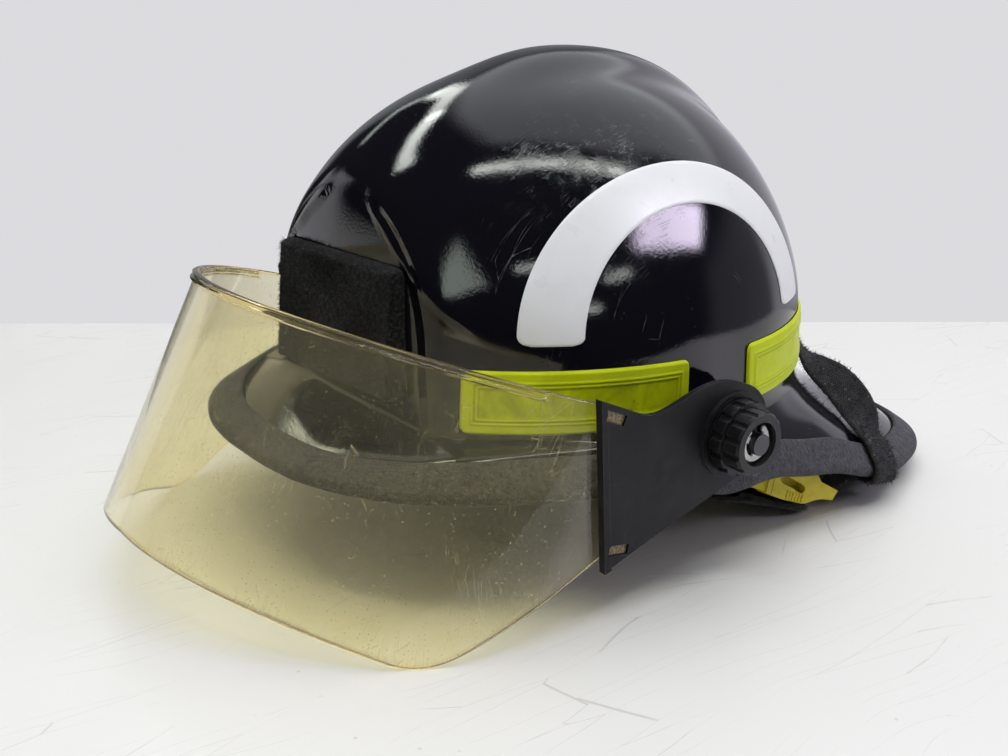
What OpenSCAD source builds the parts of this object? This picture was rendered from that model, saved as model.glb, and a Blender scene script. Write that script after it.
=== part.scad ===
// Structural fire helmet with a flip-down face shield, standing on a flat surface.
// X points to the wearer's left, Y to the rear and Z up. All sizes are in millimetres.

/* [Part] */
// Which piece to build

/* [Dome] */
// Half width of the dome at the stripe line
dome_half_width = 107; // [100:0.5:114]
// Reach of the dome ahead of its centre
dome_front_reach = 128; // [122:1:136]
// Reach of the dome behind its centre
dome_rear_reach = 131; // [124:1:138]
// Height of the crown above the stripe line
dome_rise = 107; // [98:1:116]
// Height of the stripe line above the table
stripe_z = 98; // [94:0.5:104]
// Front-to-back place of the dome's centre
dome_y = -4; // [-8:0.5:2]
// Thickness of the outer shell
shell_wall = 2.6; // [2:0.1:3.4]
// Height of the centre ridge above the dome
ridge_height = 7; // [3:0.5:9]
// Half width of the centre ridge
ridge_half_width = 22; // [16:1:30]
// Distance of the flat front panel ahead of the dome's centre
panel_reach = 106.5; // [102:0.5:110]
// Widening of the side wall from the stripe line down
wall_flare = 1.5; // [1:0.1:2.5]

/* [Brim] */
// Brim overhang beyond the side wall
brim_side = 3; // [2:0.25:5]
// Reach of the brim ahead of its centre
brim_front_reach = 155; // [150:1:166]
// Reach of the brim behind its centre
brim_rear_reach = 208; // [198:1:214]
// Mean height of the brim edge
brim_z = 38.5; // [36:0.5:41]
// Fall of the brim from front to rear, each way
brim_fall = 24.5; // [20:0.5:26]
// Downward slope of the brim at the front
brim_slope_front = 12; // [6:1:20]
// Downward slope of the brim at the rear
brim_slope_rear = 28; // [20:1:36]
// Rise of the brim's edge behind the ears
ear_rise = 10; // [4:0.5:12]
// Width of brim covered by the rubber trim
trim_cover = 11; // [8:0.5:13]
// Reach of the trim beyond the brim edge
trim_tip = 6; // [4:0.5:8]
// Thickness of the rubber trim
trim_thick = 7.4; // [6.4:0.2:8.4]

/* [Stripes and patches] */
// Height of the reflective stripes
stripe_height = 25.4; // [22:0.2:27]
// Thickness of the reflective stripes
stripe_thick = 1.3; // [0.8:0.1:1.8]
// Width of the raised border on a stripe
stripe_border = 2.4; // [1.5:0.1:3.5]
// Front end of the front stripe, in degrees round the dome
stripe_front_start = -55; // [-58:1:-50]
// Rear end of the front stripe, in degrees round the dome
stripe_front_end = -7; // [-14:1:-7]
// Front end of the rear stripe, in degrees round the dome
stripe_rear_start = 12; // [12:1:18]
// Rear end of the rear stripe, in degrees round the dome
stripe_rear_end = 62; // [54:1:68]
// Outer half width of the white side arch
arch_outer = 79; // [72:1:82]
// Width of the white side arch band
arch_band = 23; // [18:1:27]
// Height of the foot of the white side arch above the stripe line
arch_foot = 9; // [6:0.5:14]
// Rise of the white side arch from its foot
arch_rise = 64; // [56:1:66]
// Thickness of the arch film
arch_thick = 0.4; // [0.3:0.05:0.6]
// Width of the front hook-and-loop pad
pad_width = 92; // [84:1:100]
// Height of the front hook-and-loop pad
pad_height = 54; // [46:1:58]
// Sideways place of the front pad
pad_shift = -2; // [-4:0.5:4]
// Tilt of the front pad, lower on the wearer's right
pad_tilt = 2; // [0:0.5:4]
// Thickness of the front pad at its top
pad_thick_top = 5; // [4:0.5:7]
// Thickness of the front pad at its foot
pad_thick_foot = 9; // [6:0.5:11]

/* [Face shield] */
// Thickness of the clear shield
lens_thick = 2.4; // [1.8:0.1:3]
// Reach of the shield from its pivot to its front
lens_reach = 182.5; // [178:0.5:188]
// Lean of the shield's front toward its top
lens_lean = 11; // [4:0.5:14]
// Fall of the shield's top edge from the brackets to the front
lens_dip = 5; // [0:0.5:8]
// Depth of the shield at its centre
lens_centre_drop = 107.5; // [100:0.5:110]
// Depth of the shield at its two lobes, before rounding
lens_lobe_drop = 115.6; // [112:0.1:117]
// Distance of each lobe from the centre, along the shield
lens_lobe_run = 137; // [130:1:144]
// Rise of the lower edge from the lobe to the bracket, per unit of length
lens_rise_rate = 0.96; // [0.85:0.01:1.05]
// Tilt of the shield at rest
shield_tilt = 21.1; // [18:0.1:23]
// Height of the top rib on the shield
rib_height = 3.6; // [2.5:0.1:5]
// Outward step of the top rib
rib_step = 1.6; // [1:0.1:2.2]
// Distance ahead of the pivot at which the rib ends
rib_end = 96; // [92:1:104]

/* [Shield brackets] */
// Thickness of a side bracket
plate_thick = 2.4; // [2:0.1:3.2]
// Radius of the bracket's round head
head_r = 21; // [19:0.5:23]
// Step of the raised ring on the bracket head
head_step = 1.2; // [0.8:0.1:1.8]
// Length of the bracket from the pivot to its top front corner
plate_reach = 79; // [76:0.5:84]
// Height of the pivot above the table
pivot_z = 67.2; // [66:0.1:69]
// Radius of the pivot bushing
bush_r = 6; // [5:0.25:7]
// Radius of the pivot stud
stud_r = 4.5; // [3.5:0.25:4.75]
// Radius of the pivot base on the shell
base_r = 12.6; // [11:0.2:12.8]
// Radius of the knob's flange
knob_r = 15.6; // [14:0.2:17]
// Radius of the knob's body
knob_body_r = 13.2; // [12:0.2:13.8]
// Height of the knob
knob_height = 12.4; // [11:0.2:14]
// Depth of the recess in the knob
knob_recess = 4.4; // [3.6:0.2:5]
// Number of finger grooves on the knob
knob_grooves = 12; // [8:1:16]
// Thickness of the friction washer
washer_thick = 1; // [0.6:0.1:1.4]
// Thickness of the retaining clip
clip_thick = 1; // [0.8:0.1:1.2]

/* [Suspension] */
// Radius of the headband's round ends, inside
band_r = 73; // [70:0.5:75]
// Straight length of the headband's sides
band_straight = 46; // [40:1:50]
// Front-to-back place of the headband's centre
band_y = 6; // [4:0.5:8]
// Thickness of the headband
band_thick = 2.2; // [1.8:0.1:2.6]
// Height of the headband
band_height = 32; // [26:1:36]
// Height of the headband's lower edge
band_z = 40; // [38:0.5:44]
// Thickness of the impact liner
liner_thick = 9; // [7:0.5:11]
// Width of the crown straps
strap_web = 19; // [16:1:22]
// Thickness of all webbing
web_thick = 1.8; // [1.4:0.1:2.2]
// Height of the crown straps' crossing above the headband
crown_rise = 95; // [84:1:97]
// Thickness of the brow pad
brow_thick = 3.4; // [2.5:0.1:4.5]
// Thickness of an adjuster tail
tail_thick = 1.6; // [1.2:0.1:2]
// Height of an adjuster tail
tail_height = 18; // [16:0.5:22]
// Radius of the adjuster knob
dial_r = 18; // [15:0.5:19]
// Thickness of the adjuster knob
dial_thick = 9; // [8:0.5:11]
// Number of grips on the adjuster knob
dial_grips = 14; // [8:1:18]

/* [Flap, chin strap and buckle] */
// Thickness of the ear flap
flap_thick = 3.2; // [2.4:0.2:4.2]
// Half width of the flap's hem
flap_hem_half = 114; // [106:0.5:118]
// Depth of the folds at the flap's hem
flap_fold = 2.6; // [1:0.2:3.6]
// Width of the chin strap
chin_web = 22; // [18:0.5:25]
// Length of the buckle's body
buckle_length = 38; // [34:0.5:42]
// Width of the buckle
buckle_width = 18.6; // [17:0.2:20]
// Thickness of the buckle
buckle_thick = 8; // [7:0.1:8.6]

/* [Fits] */
// Clearance of a turning or sliding fit
fit = 0.15; // [0.1:0.01:0.25]
// Clearance between pieces that lie against each other
seat = 0.3; // [0.25:0.01:0.4]

/* [Hidden] */

$fn = 64;
columns = 72;
dome_rows = 12;
flare_rows = 6;
wall_drop = stripe_height + 2;
panel_y = dome_y - panel_reach;
panel_blend = 4;
liner_gap = 1.3;
ridge_start_y = dome_y - 28;
dome_power = 1.95;
lip = trim_cover + 1;
brim_y = 1;
brim_half = dome_half_width + wall_flare + brim_side;
trim_mid = -shell_wall / 2;
trim_out = brim_half + trim_thick / 2 - shell_wall / 2 + 1.4;

lens_in = trim_out + 2 * seat;
lens_out = lens_in + lens_thick;
lens_mid = lens_in + lens_thick / 2;
plate_in = lens_out + seat;
plate_out = plate_in + plate_thick;
pivot_y = dome_y;
base_out = plate_in - fit;
washer_in = plate_out + head_step + fit;
knob_in = washer_in + washer_thick + fit;
knob_out = knob_in + knob_height;
clip_x = knob_out - knob_recess + 1;
clip_r = stud_r + 3.2;
stud_out = knob_out + 0.6;
lens_tail_y = -66;

function mix(a, b, t) = a + (b - a) * t;
function clamp(t) = max(0, min(1, t));
function ease(t) = let (k = clamp(t)) k * k * (3 - 2 * k);
function smooth_max(a, b, k) = let (h = clamp(0.5 + 0.5 * (a - b) / k)) b + (a - b) * h + k * h * (1 - h);
function unit(p) = p / norm(p);
function bezier(a, b, c, d, t) =
    a * pow(1 - t, 3) + b * 3 * t * pow(1 - t, 2) + c * 3 * t * t * (1 - t) + d * pow(t, 3);
function oval(a, half, front, rear, n) =
    pow(pow(abs(cos(a)) / half, n) + pow(abs(sin(a)) / (sin(a) < 0 ? front : rear), n), -1 / n);

// A point of the dome: a runs round it, v from the crown to the stripe line, off is the outward offset.
function dome_pt(a, v, off) = let (
        w = 0.5 + 0.5 * sin(a),
        rad = pow(sin(90 * v), mix(0.98, 0.84, w)),
        lift = pow(max(0, cos(90 * v)), mix(0.96, 1.3, w)),
        r = rad * oval(a, dome_half_width + off, dome_front_reach + off, dome_rear_reach + off, dome_power),
        x = r * cos(a), y = dome_y + r * sin(a), z = stripe_z + (dome_rise + off) * lift,
        k = ridge_height * exp(-pow(abs(x) / ridge_half_width, 3)) / (1 + exp((ridge_start_y - y) / 12))
            * ease((z - stripe_z - 10) / 40),
        d = unit([x, y - dome_y, z - stripe_z + 20]))
    [x + d.x * k, smooth_max(y + d.y * k, panel_y - off, panel_blend), z + d.z * k];
// A point of the side wall under the stripe line, u from its top to its foot.
function wall_pt(a, u, off) = let (
        g = off + wall_flare * u,
        r = oval(a, dome_half_width + g, dome_front_reach + g, dome_rear_reach + g, dome_power))
    [r * cos(a), smooth_max(dome_y + r * sin(a), panel_y - off, panel_blend), stripe_z - wall_drop * u];
// The brim's edge, its outward direction, its slope and a point beside it.
front_power = 2.6;
rear_power = 3.25;
function brim_power(a) = sin(a) < 0 ? front_power : rear_power;
function ear_lift(a) = let (side = asin(max(0, sin(a))))
    ear_rise * ease(side / 22) * (1 - ease((side - 34) / 20));
function brim_edge(a) = let (r = oval(a, brim_half, brim_front_reach, brim_rear_reach, brim_power(a)))
    [r * cos(a), brim_y + r * sin(a),
        brim_z - brim_fall * sin(a) + 3.5 * cos(2 * a) - 2.5 * sin(3 * a) + ear_lift(a)];
function brim_out(a) = let (n = brim_power(a), e = brim_edge(a),
        reach = sin(a) < 0 ? brim_front_reach : brim_rear_reach)
    unit([sign(cos(a)) * pow(abs(e.x) / brim_half, n - 1) / brim_half,
        sign(sin(a)) * pow(abs(e.y - brim_y) / reach, n - 1) / reach, 0]);
function brim_slope(a) = 78 * pow(cos(a), 2)
    + (sin(a) < 0 ? brim_slope_front : brim_slope_rear) * pow(sin(a), 2);
function brim_dir(a) = brim_out(a) * cos(brim_slope(a)) - [0, 0, sin(brim_slope(a))];
function brim_up(a) = brim_out(a) * sin(brim_slope(a)) + [0, 0, cos(brim_slope(a))];
function brim_pt(a, u, w) = brim_edge(a) + brim_dir(a) * u + brim_up(a) * w;
// A point of the flare between wall and brim.
function flare_pt(a, t, off) = let (p = wall_pt(a, 1, off), q = brim_pt(a, -lip, off))
    bezier(p, p - [0, 0, 0.45 * (p.z - q.z)], q - brim_dir(a) * 0.35 * norm(q - p), q, t);
// The whole outer surface in one run: 0 to 1 dome, 1 to 2 wall, 2 to 3 flare, 3 to 4 lip.
function skin_pt(a, s, off) = s <= 1 ? dome_pt(a, s, off)
    : s <= 2 ? wall_pt(a, s - 1, off)
    : s <= 3 ? flare_pt(a, s - 2, off) : brim_pt(a, -lip * (4 - s), off);

// Closed skin over rows of points between two poles.
module skin_poles(first, rows, last) {
    n = len(rows[0]);
    m = len(rows);
    polyhedron(concat([first], [for (r = rows) each r], [last]), concat(
        [for (j = [0:n - 1]) [0, 1 + (j + 1) % n, 1 + j]],
        [for (i = [0:m - 2], j = [0:n - 1]) let (a = 1 + i * n + j, b = 1 + i * n + (j + 1) % n)
            each [[a, b, a + n], [b, b + n, a + n]]],
        [for (j = [0:n - 1]) [1 + (m - 1) * n + j, 1 + (m - 1) * n + (j + 1) % n, 1 + m * n]]),
        convexity = 8);
}
// Skin over loops of an even number of points: closed into a ring, or with an end cap at each end.
module skin_loops(loops, ring = false) {
    n = len(loops[0]);
    m = len(loops);
    last = ring ? m - 1 : m - 2;
    side = [for (i = [0:last], j = [0:n - 1]) let (a = i * n + j, b = ((i + 1) % m) * n + j,
            c = i * n + (j + 1) % n, d = ((i + 1) % m) * n + (j + 1) % n) each [[a, c, b], [b, c, d]]];
    o = (m - 1) * n;
    caps = ring ? [] : [for (j = [0:floor(n / 2) - 2]) let (a = j + 1, b = n - 2 - j, c = n - 1 - j)
        each [[j, b, a], [j, c, b], [o + j, o + a, o + b], [o + j, o + b, o + c]]];
    polyhedron([for (l = loops) each l], concat(side, caps), convexity = 8);
}
module both_sides() { children(); mirror([1, 0, 0]) children(); }
// Turns an outline drawn as (front-back, height) into a plate along X.
module plate(x, thick) { translate([x, 0, 0]) rotate([90, 0, 90]) linear_extrude(thick) children(); }
module shield_frame() { translate([0, pivot_y, pivot_z]) rotate([-shield_tilt, 0, 0]) children(); }
module pivot_frame() { translate([0, pivot_y, pivot_z]) rotate([0, 90, 0]) children(); }

// Shell
function ring_row(s, off, n) = [for (j = [0:n - 1]) skin_pt(360 * j / n, s, off)];
shell_steps = concat([for (i = [1:dome_rows]) i / dome_rows], [1.5, 2],
    [for (i = [1:flare_rows]) 2 + i / flare_rows], [4]);
module outer_shell() color("#15151a") {
    rows = [for (s = shell_steps) ring_row(s, 0, columns)];
    inner = [for (i = [len(shell_steps) - 1:-1:0]) ring_row(shell_steps[i], -shell_wall, columns)];
    skin_poles(dome_pt(90, 0, 0), concat(rows, inner), dome_pt(90, 0, -shell_wall));
}
// Rubber trim: a channel that grips the brim's edge.
module edge_trim() color("#2b2c30") {
    t = trim_thick / 2;
    g = shell_wall / 2 + seat;
    section = [[-trim_cover, trim_mid - t + 0.7], [1.5 - trim_cover, trim_mid - t],
        [trim_tip - 3, trim_mid - t], [trim_tip - 0.8, trim_mid - t + 1.5], [trim_tip, trim_mid],
        [trim_tip - 0.8, trim_mid + t - 1.5], [trim_tip - 3, trim_mid + t],
        [1.5 - trim_cover, trim_mid + t], [-trim_cover, trim_mid + t - 0.7],
        [-trim_cover, trim_mid + g], [seat, trim_mid + g], [seat, trim_mid - g], [-trim_cover, trim_mid - g]];
    skin_loops([for (j = [0:columns - 1]) [for (q = section) brim_pt(360 * j / columns, q.x, q.y)]], true);
}
// Foam cap inside the dome, down to just under the stripe line.
module impact_liner() color("#c9b98a") {
    top = -shell_wall - liner_gap;
    steps = concat([for (i = [1:8]) i / 8], [1.45]);
    rows = [for (s = steps) ring_row(s, top, 36)];
    inner = [for (i = [len(steps) - 1:-1:0]) ring_row(steps[i], top - liner_thick, 36)];
    skin_poles(dome_pt(90, 0, top), concat(rows, inner), dome_pt(90, 0, top - liner_thick));
}

// Reflective stripes: a flat panel inside a raised border.
module stripe(from, to) color("#c6d414") {
    steps = 16;
    low = 1 + (stripe_height + 0.6) / wall_drop;
    high = 1 + 0.6 / wall_drop;
    edge = stripe_border / wall_drop;
    loops = [for (i = [0:steps]) let (a = mix(from, to, i / steps),
            h = (i < 1 || i > steps - 1) ? stripe_thick : stripe_thick * 0.7)
        [skin_pt(a, low, seat), skin_pt(a, low, seat + stripe_thick),
            skin_pt(a, low - edge, seat + stripe_thick), skin_pt(a, low - edge * 1.3, seat + h),
            skin_pt(a, high + edge * 1.3, seat + h), skin_pt(a, high + edge, seat + stripe_thick),
            skin_pt(a, high, seat + stripe_thick), skin_pt(a, high, seat)]];
    skin_loops(loops);
}
module stripe_front_left() { stripe(stripe_front_start, stripe_front_end); }
module stripe_front_right() { mirror([1, 0, 0]) stripe(stripe_front_start, stripe_front_end); }
module stripe_rear_left() { stripe(stripe_rear_start, stripe_rear_end); }
module stripe_rear_right() { mirror([1, 0, 0]) stripe(stripe_rear_start, stripe_rear_end); }

// Place on the dome of a side-view point (y, z): first the level, then the angle, refined in turn.
function side_angle(y, z, a, k) = k == 0 ? a : let (
        w = 0.5 + 0.5 * sin(a),
        v = acos(clamp(pow((z - stripe_z) / dome_rise, 1 / mix(0.96, 1.3, w)))) / 90,
        r = pow(sin(90 * v), mix(0.98, 0.84, w)) * oval(a, dome_half_width, dome_front_reach,
            dome_rear_reach, dome_power))
    side_angle(y, z, asin(max(-0.99, min(0.99, (y - dome_y) / r))), k - 1);
function side_level(a, z) =
    acos(clamp(pow((z - stripe_z) / dome_rise, 1 / mix(0.96, 1.3, 0.5 + 0.5 * sin(a))))) / 90;
function side_pt(y, z, off) = let (a = side_angle(y, z, 0, 8)) dome_pt(a, side_level(a, z), off);
// White film in the form of an arch, laid on the dome's side.
module side_arch() color("#ffffff") {
    steps = 28;
    loops = [for (i = [0:steps]) let (t = 180 - 180 * i / steps,
            ring = [for (k = [0:3]) let (r = 1 - (arch_band / arch_outer) * k / 3)
                [dome_y - 2 + arch_outer * r * cos(t),
                    stripe_z + arch_foot + (arch_rise - (1 - r) * arch_outer * 0.66) * sin(t)]])
        concat([for (k = [3:-1:0]) side_pt(ring[k].x, ring[k].y, seat + arch_thick)],
            [for (k = [0:3]) side_pt(ring[k].x, ring[k].y, seat)])];
    skin_loops(loops);
}
module side_arch_left() { side_arch(); }
module side_arch_right() { mirror([1, 0, 0]) side_arch(); }

// Hook-and-loop pad on the flat front panel, thicker at its foot.
pad_top_z = stripe_z + 33;
module pad_frame() {
    translate([pad_shift, 0, pad_top_z - pad_height / 2]) rotate([0, -pad_tilt, 0])
        translate([0, 0, pad_height / 2 - pad_top_z]) children();
}
module front_pad() color("#1c1c1e") pad_frame() {
    back = panel_y - seat;
    intersection() {
        translate([-pad_width / 2, 0, 0]) rotate([90, 0, 90]) linear_extrude(pad_width)
            polygon([[back, pad_top_z], [back - pad_thick_top, pad_top_z - 1.5],
                [back - pad_thick_foot, pad_top_z - pad_height + 2], [back, pad_top_z - pad_height]]);
        translate([0, back + 1, pad_top_z - pad_height / 2]) rotate([90, 0, 0])
            linear_extrude(pad_thick_foot + 4) rounded(pad_width, pad_height, 4);
    }
}
module rounded(w, h, r) {
    square([w - 2 * r, h], center = true);
    square([w, h - 2 * r], center = true);
    for (x = [-1, 1], y = [-1, 1]) translate([x * (w / 2 - r), y * (h / 2 - r)]) circle(r);
}
// Small black rivet beside the pad, on the wearer's right.
module pad_rivets() color("#101012") pad_frame()
    translate([-pad_width / 2 - 2.4, panel_y - seat, pad_top_z - 14]) rotate([90, 0, 0]) {
        cylinder(r = 2, h = 3);
        translate([0, 0, 3]) cylinder(r1 = 2, r2 = 1, h = 1);
    }

// Face shield: a bent sheet that leans back toward its top, with a straight tail at each side
function lens_curve(t, lean) = bezier([lens_mid, lens_tail_y], [lens_mid, lens_tail_y - 42],
    [58, lean - lens_reach], [0, lean - lens_reach], t);
function lens_normal(t, lean) = let (
        d = lens_curve(min(1, t + 0.005), lean) - lens_curve(max(0, t - 0.005), lean))
    unit([-d.y, d.x]);
lens_steps = 30;
lens_tails = 4;
lens_top = [22 - plate_reach, -0.8];
lens_rear_y = -34;
lens_spans = [for (i = [0:lens_steps - 1])
    norm(lens_curve((i + 1) / lens_steps, 0) - lens_curve(i / lens_steps, 0))];
function run_from_front(i) = i >= lens_steps ? 0 : lens_spans[i] + run_from_front(i + 1);
function lens_foot(run) = smooth_max(
    -lens_centre_drop - (lens_lobe_drop - lens_centre_drop) * run / lens_lobe_run,
    -lens_lobe_drop + (run - lens_lobe_run) * lens_rise_rate, 14);
// Place in plan of column i and its normal: below 0 on the tail, from there along the bend to the front.
function lens_column(i, lean, end_y) = i < 0
    ? [[lens_mid, mix(lens_tail_y, end_y, -i / lens_tails)], [1, 0]]
    : [lens_curve(i / lens_steps, lean), lens_normal(i / lens_steps, lean)];
function lens_loop(i) = let (
        top = lens_column(i, lens_lean, lens_top.x),
        foot = lens_column(i, 0, lens_rear_y),
        dip = lens_dip * clamp((lens_top.x - top[0].y) / (lens_reach - lens_lean + lens_top.x)),
        high = lens_top.y - dip,
        low = lens_foot(i < 0 ? run_from_front(0) + foot[0].y - lens_tail_y : run_from_front(i)),
        rib = rib_step * clamp((4 - rib_end - top[0].y) / 4),
        h = lens_thick / 2,
        at = function (z, off) let (k = (high - z) / (high - low), c = mix(top[0], foot[0], k),
            q = c + unit(mix(top[1], foot[1], k)) * off) [q.x, q.y, z])
    [at(high, h + rib), at(high - rib_height, h + rib), at(high - rib_height - 0.5, h), at(low, h),
        at(low, -h), at(high - rib_height - 0.5, -h), at(high - rib_height, -h), at(high, -h)];
module face_shield() color("#d8c56a", 0.55) shield_frame() {
    skin_loops(concat([for (i = [-lens_tails:lens_steps]) lens_loop(i)],
        [for (i = [lens_steps - 1:-1:-lens_tails]) [for (p = lens_loop(i)) [-p.x, p.y, p.z]]]));
    both_sides() for (s = slots) plate(lens_out - 0.2, seat + plate_thick + 0.2)
        translate(s[0]) rotate(s[1]) square([slot_w - 2 * fit, slot_h - 2 * fit], center = true);
}

// Side brackets: a flared plate with a round head at the pivot
slot_w = 11;
slot_h = 4.2;
slots = [[[11 - plate_reach, -5], -2], [[-43.5, -54.5], 12]];
module bracket_outline() {
    front_top = [-plate_reach, 0];
    front_foot = [-47, -64.5];
    top = [for (i = [0:12]) bezier([-54, -1.2], [-38, -1.4], [-30, head_r + 0.5], [-4, head_r], i / 12)];
    tangent = head_r * [sin(40), -cos(40)];
    polygon(concat([front_top], top, [[0, 0], tangent, [-24, -45.5], front_foot]));
    circle(head_r);
}
module shield_bracket(side) color("#1b1b1e") mirror([side, 0, 0]) shield_frame() difference() {
    union() {
        plate(plate_in, plate_thick) bracket_outline();
        plate(plate_out - 0.01, head_step + 0.01) circle(head_r - 3);
        plate(plate_out - 0.01, 1.01) polygon([[-plate_reach, 0], [3.2 - plate_reach, -0.1],
            [-44.2, -62.4], [-47, -64.5]]);
    }
    plate(plate_in - 1, plate_thick + head_step + 2) circle(bush_r + fit);
    for (s = slots) plate(plate_in - 1, plate_thick + 3) translate(s[0]) rotate(s[1])
        square([slot_w, slot_h], center = true);
    plate(plate_out, 3) difference() { circle(head_r - 5); circle(head_r - 6.2); }
}
module shield_bracket_left() { shield_bracket(0); }
module shield_bracket_right() { shield_bracket(1); }

// Pivot hardware, outward along X
trim_top = brim_edge(-7).z + trim_cover + 2 * seat;
trim_face = brim_half + trim_mid + trim_thick / 2 + 2 * seat;
base_profile = [for (s = [1.5, 2, 2.1, 2.2, 2.3, 2.4, 2.5, 2.6, 2.8, 3]) let (p = skin_pt(0, s, 2 * seat))
    [p.z < trim_top ? max(trim_face, p.x) : p.x, p.z]];
module pivot_base(side) color("#202024") mirror([side, 0, 0]) difference() {
    union() {
        intersection() {
            translate([0, pivot_y + base_r + 1, 0]) rotate([90, 0, 0]) linear_extrude(2 * base_r + 2)
                polygon(concat(base_profile, [[base_out, base_profile[9].y], [base_out, base_profile[0].y]]));
            pivot_frame() cylinder(r = base_r, h = base_out);
        }
        pivot_frame() translate([0, 0, base_out - 1]) cylinder(r = bush_r,
            h = washer_in + washer_thick - base_out + 1 - fit);
    }
    pivot_frame() translate([0, 0, dome_half_width - 4]) cylinder(r = stud_r + fit, h = 60);
}
module pivot_base_left() { pivot_base(0); }
module pivot_base_right() { pivot_base(1); }
module pivot_stud(side) color("#2a2a2c") mirror([side, 0, 0]) pivot_frame() {
    foot = skin_pt(0, 2.25, 0).x + 3 * seat;
    difference() {
        translate([0, 0, foot]) cylinder(r = stud_r, h = stud_out - foot);
        translate([0, 0, clip_x - 0.1]) difference() {
            cylinder(r = stud_r + 1, h = clip_thick + 0.2);
            translate([0, 0, -1]) cylinder(r = stud_r - 1, h = clip_thick + 3);
        }
    }
}
module pivot_stud_left() { pivot_stud(0); }
module pivot_stud_right() { pivot_stud(1); }
module friction_washer(side) color("#8d8f94") mirror([side, 0, 0]) pivot_frame()
    translate([0, 0, washer_in]) difference() {
        cylinder(r = knob_r - 2, h = washer_thick);
        translate([0, 0, -1]) cylinder(r = bush_r + fit, h = washer_thick + 2);
    }
module friction_washer_left() { friction_washer(0); }
module friction_washer_right() { friction_washer(1); }
module pivot_knob(side) color("#18181b") mirror([side, 0, 0]) pivot_frame()
    translate([0, 0, knob_in]) difference() {
        union() {
            cylinder(r = knob_r, h = knob_height * 0.42);
            cylinder(r = knob_body_r, h = knob_height - 1);
            translate([0, 0, knob_height - 1]) cylinder(r1 = knob_body_r, r2 = knob_body_r - 0.9, h = 1);
        }
        for (k = [0:knob_grooves - 1]) rotate(360 * (k + 0.5) / knob_grooves) {
            translate([knob_r + 0.9, 0, -1]) cylinder(r = 2, h = knob_height + 2);
            translate([knob_body_r + 0.8, 0, knob_height * 0.42]) cylinder(r = 1.7, h = knob_height);
        }
        translate([0, 0, knob_height - knob_recess]) cylinder(r = knob_body_r - 4, h = knob_recess + 1);
        translate([0, 0, -1]) cylinder(r = stud_r + fit, h = knob_height);
    }
module pivot_knob_left() { pivot_knob(0); }
module pivot_knob_right() { pivot_knob(1); }
module retaining_clip(side) color("#e8e8e6") mirror([side, 0, 0]) pivot_frame()
    translate([0, 0, clip_x]) linear_extrude(clip_thick) difference() {
        circle(clip_r);
        difference() {
            circle(stud_r + 1);
            for (a = [0, 115, 245]) rotate(a) translate([0, -1.3]) square([stud_r + 2, 2.6]);
        }
        circle(stud_r - 1 + fit);
        rotate(180) polygon([[0, 0], [12, -7], [12, 7]]);
    }
module retaining_clip_left() { retaining_clip(0); }
module retaining_clip_right() { retaining_clip(1); }

// Headband and what it carries
band_front_y = band_y - band_straight / 2;
band_rear_y = band_y + band_straight / 2;
band_out = band_r + band_thick;
band_top = band_z + band_height;
tail_z = band_z + 6;
tail_in = band_out + seat;
tail_mid = tail_in + tail_thick + seat;
tail_out = tail_mid + tail_thick;
module band_2d(r) {
    translate([0, band_front_y]) circle(r);
    translate([0, band_rear_y]) circle(r);
    translate([-r, band_front_y]) square([2 * r, band_straight]);
}
module sector(a, b, r) polygon(concat([[0, 0]],
    [for (t = [0:3]) let (c = mix(a, b, t / 3)) r * [cos(c), sin(c)]]));
module headband() color("#2c2d31") difference() {
    translate([0, 0, band_z]) linear_extrude(band_height) difference() {
        band_2d(band_out);
        band_2d(band_r);
        translate([0, band_rear_y]) sector(62, 118, 200);
    }
    for (k = [-2:2]) translate([0, band_front_y, band_z + band_height * 0.7]) rotate([90, 0, k * 16])
        linear_extrude(200) rounded(9, 5, 2);
}
module arc_wall(y, r1, r2, z, h, a, b) translate([0, y, z]) rotate([0, 0, a])
    rotate_extrude(angle = b - a) translate([r1, 0]) square([r2 - r1, h]);
module brow_pad() color("#3a3532") arc_wall(band_front_y, band_r - seat - brow_thick, band_r - seat,
    band_z - 1, band_height * 0.85, 195, 345);
module nape_pad() color("#3a3532")
    arc_wall(band_rear_y, band_r - 5, band_r - 1.6, tail_z - 8, tail_height + 8, 66, 114);

// Distance from (0, y) in direction a to the shell's inner wall, refined in turn.
function wall_reach(y, a, off, d, k) = k == 0 ? d : let (
        p = [d * cos(a), y + d * sin(a) - dome_y],
        t = atan2(p.y, p.x),
        r = oval(t, dome_half_width + off, dome_front_reach + off, dome_rear_reach + off, dome_power))
    wall_reach(y, a, off, d * r / norm(p), k - 1);
key_places = [[0, 0], [band_rear_y, 38], [band_rear_y, 142], [0, 180], [band_front_y, -142],
    [band_front_y, -38]];
key_z = stripe_z - wall_drop * 0.45 - 4 * seat;
// Keys that hold the headband and the straps to the inside of the shell.
module suspension_keys() color("#46474c") for (q = key_places) {
    near = band_out + seat;
    far = wall_reach(q.x, q.y, -shell_wall - 3 * seat, 100, 6);
    translate([0, q.x, 0]) rotate([90, 0, q.y]) translate([0, 0, -7]) linear_extrude(14) polygon([
        [near, band_top - 12], [near + 2.4, band_top - 12], [near + 2.4, key_z - 4], [far - 6, key_z - 4],
        [far - 3, key_z - 12], [far, key_z - 12], [far, key_z], [near, key_z]]);
}

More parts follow.
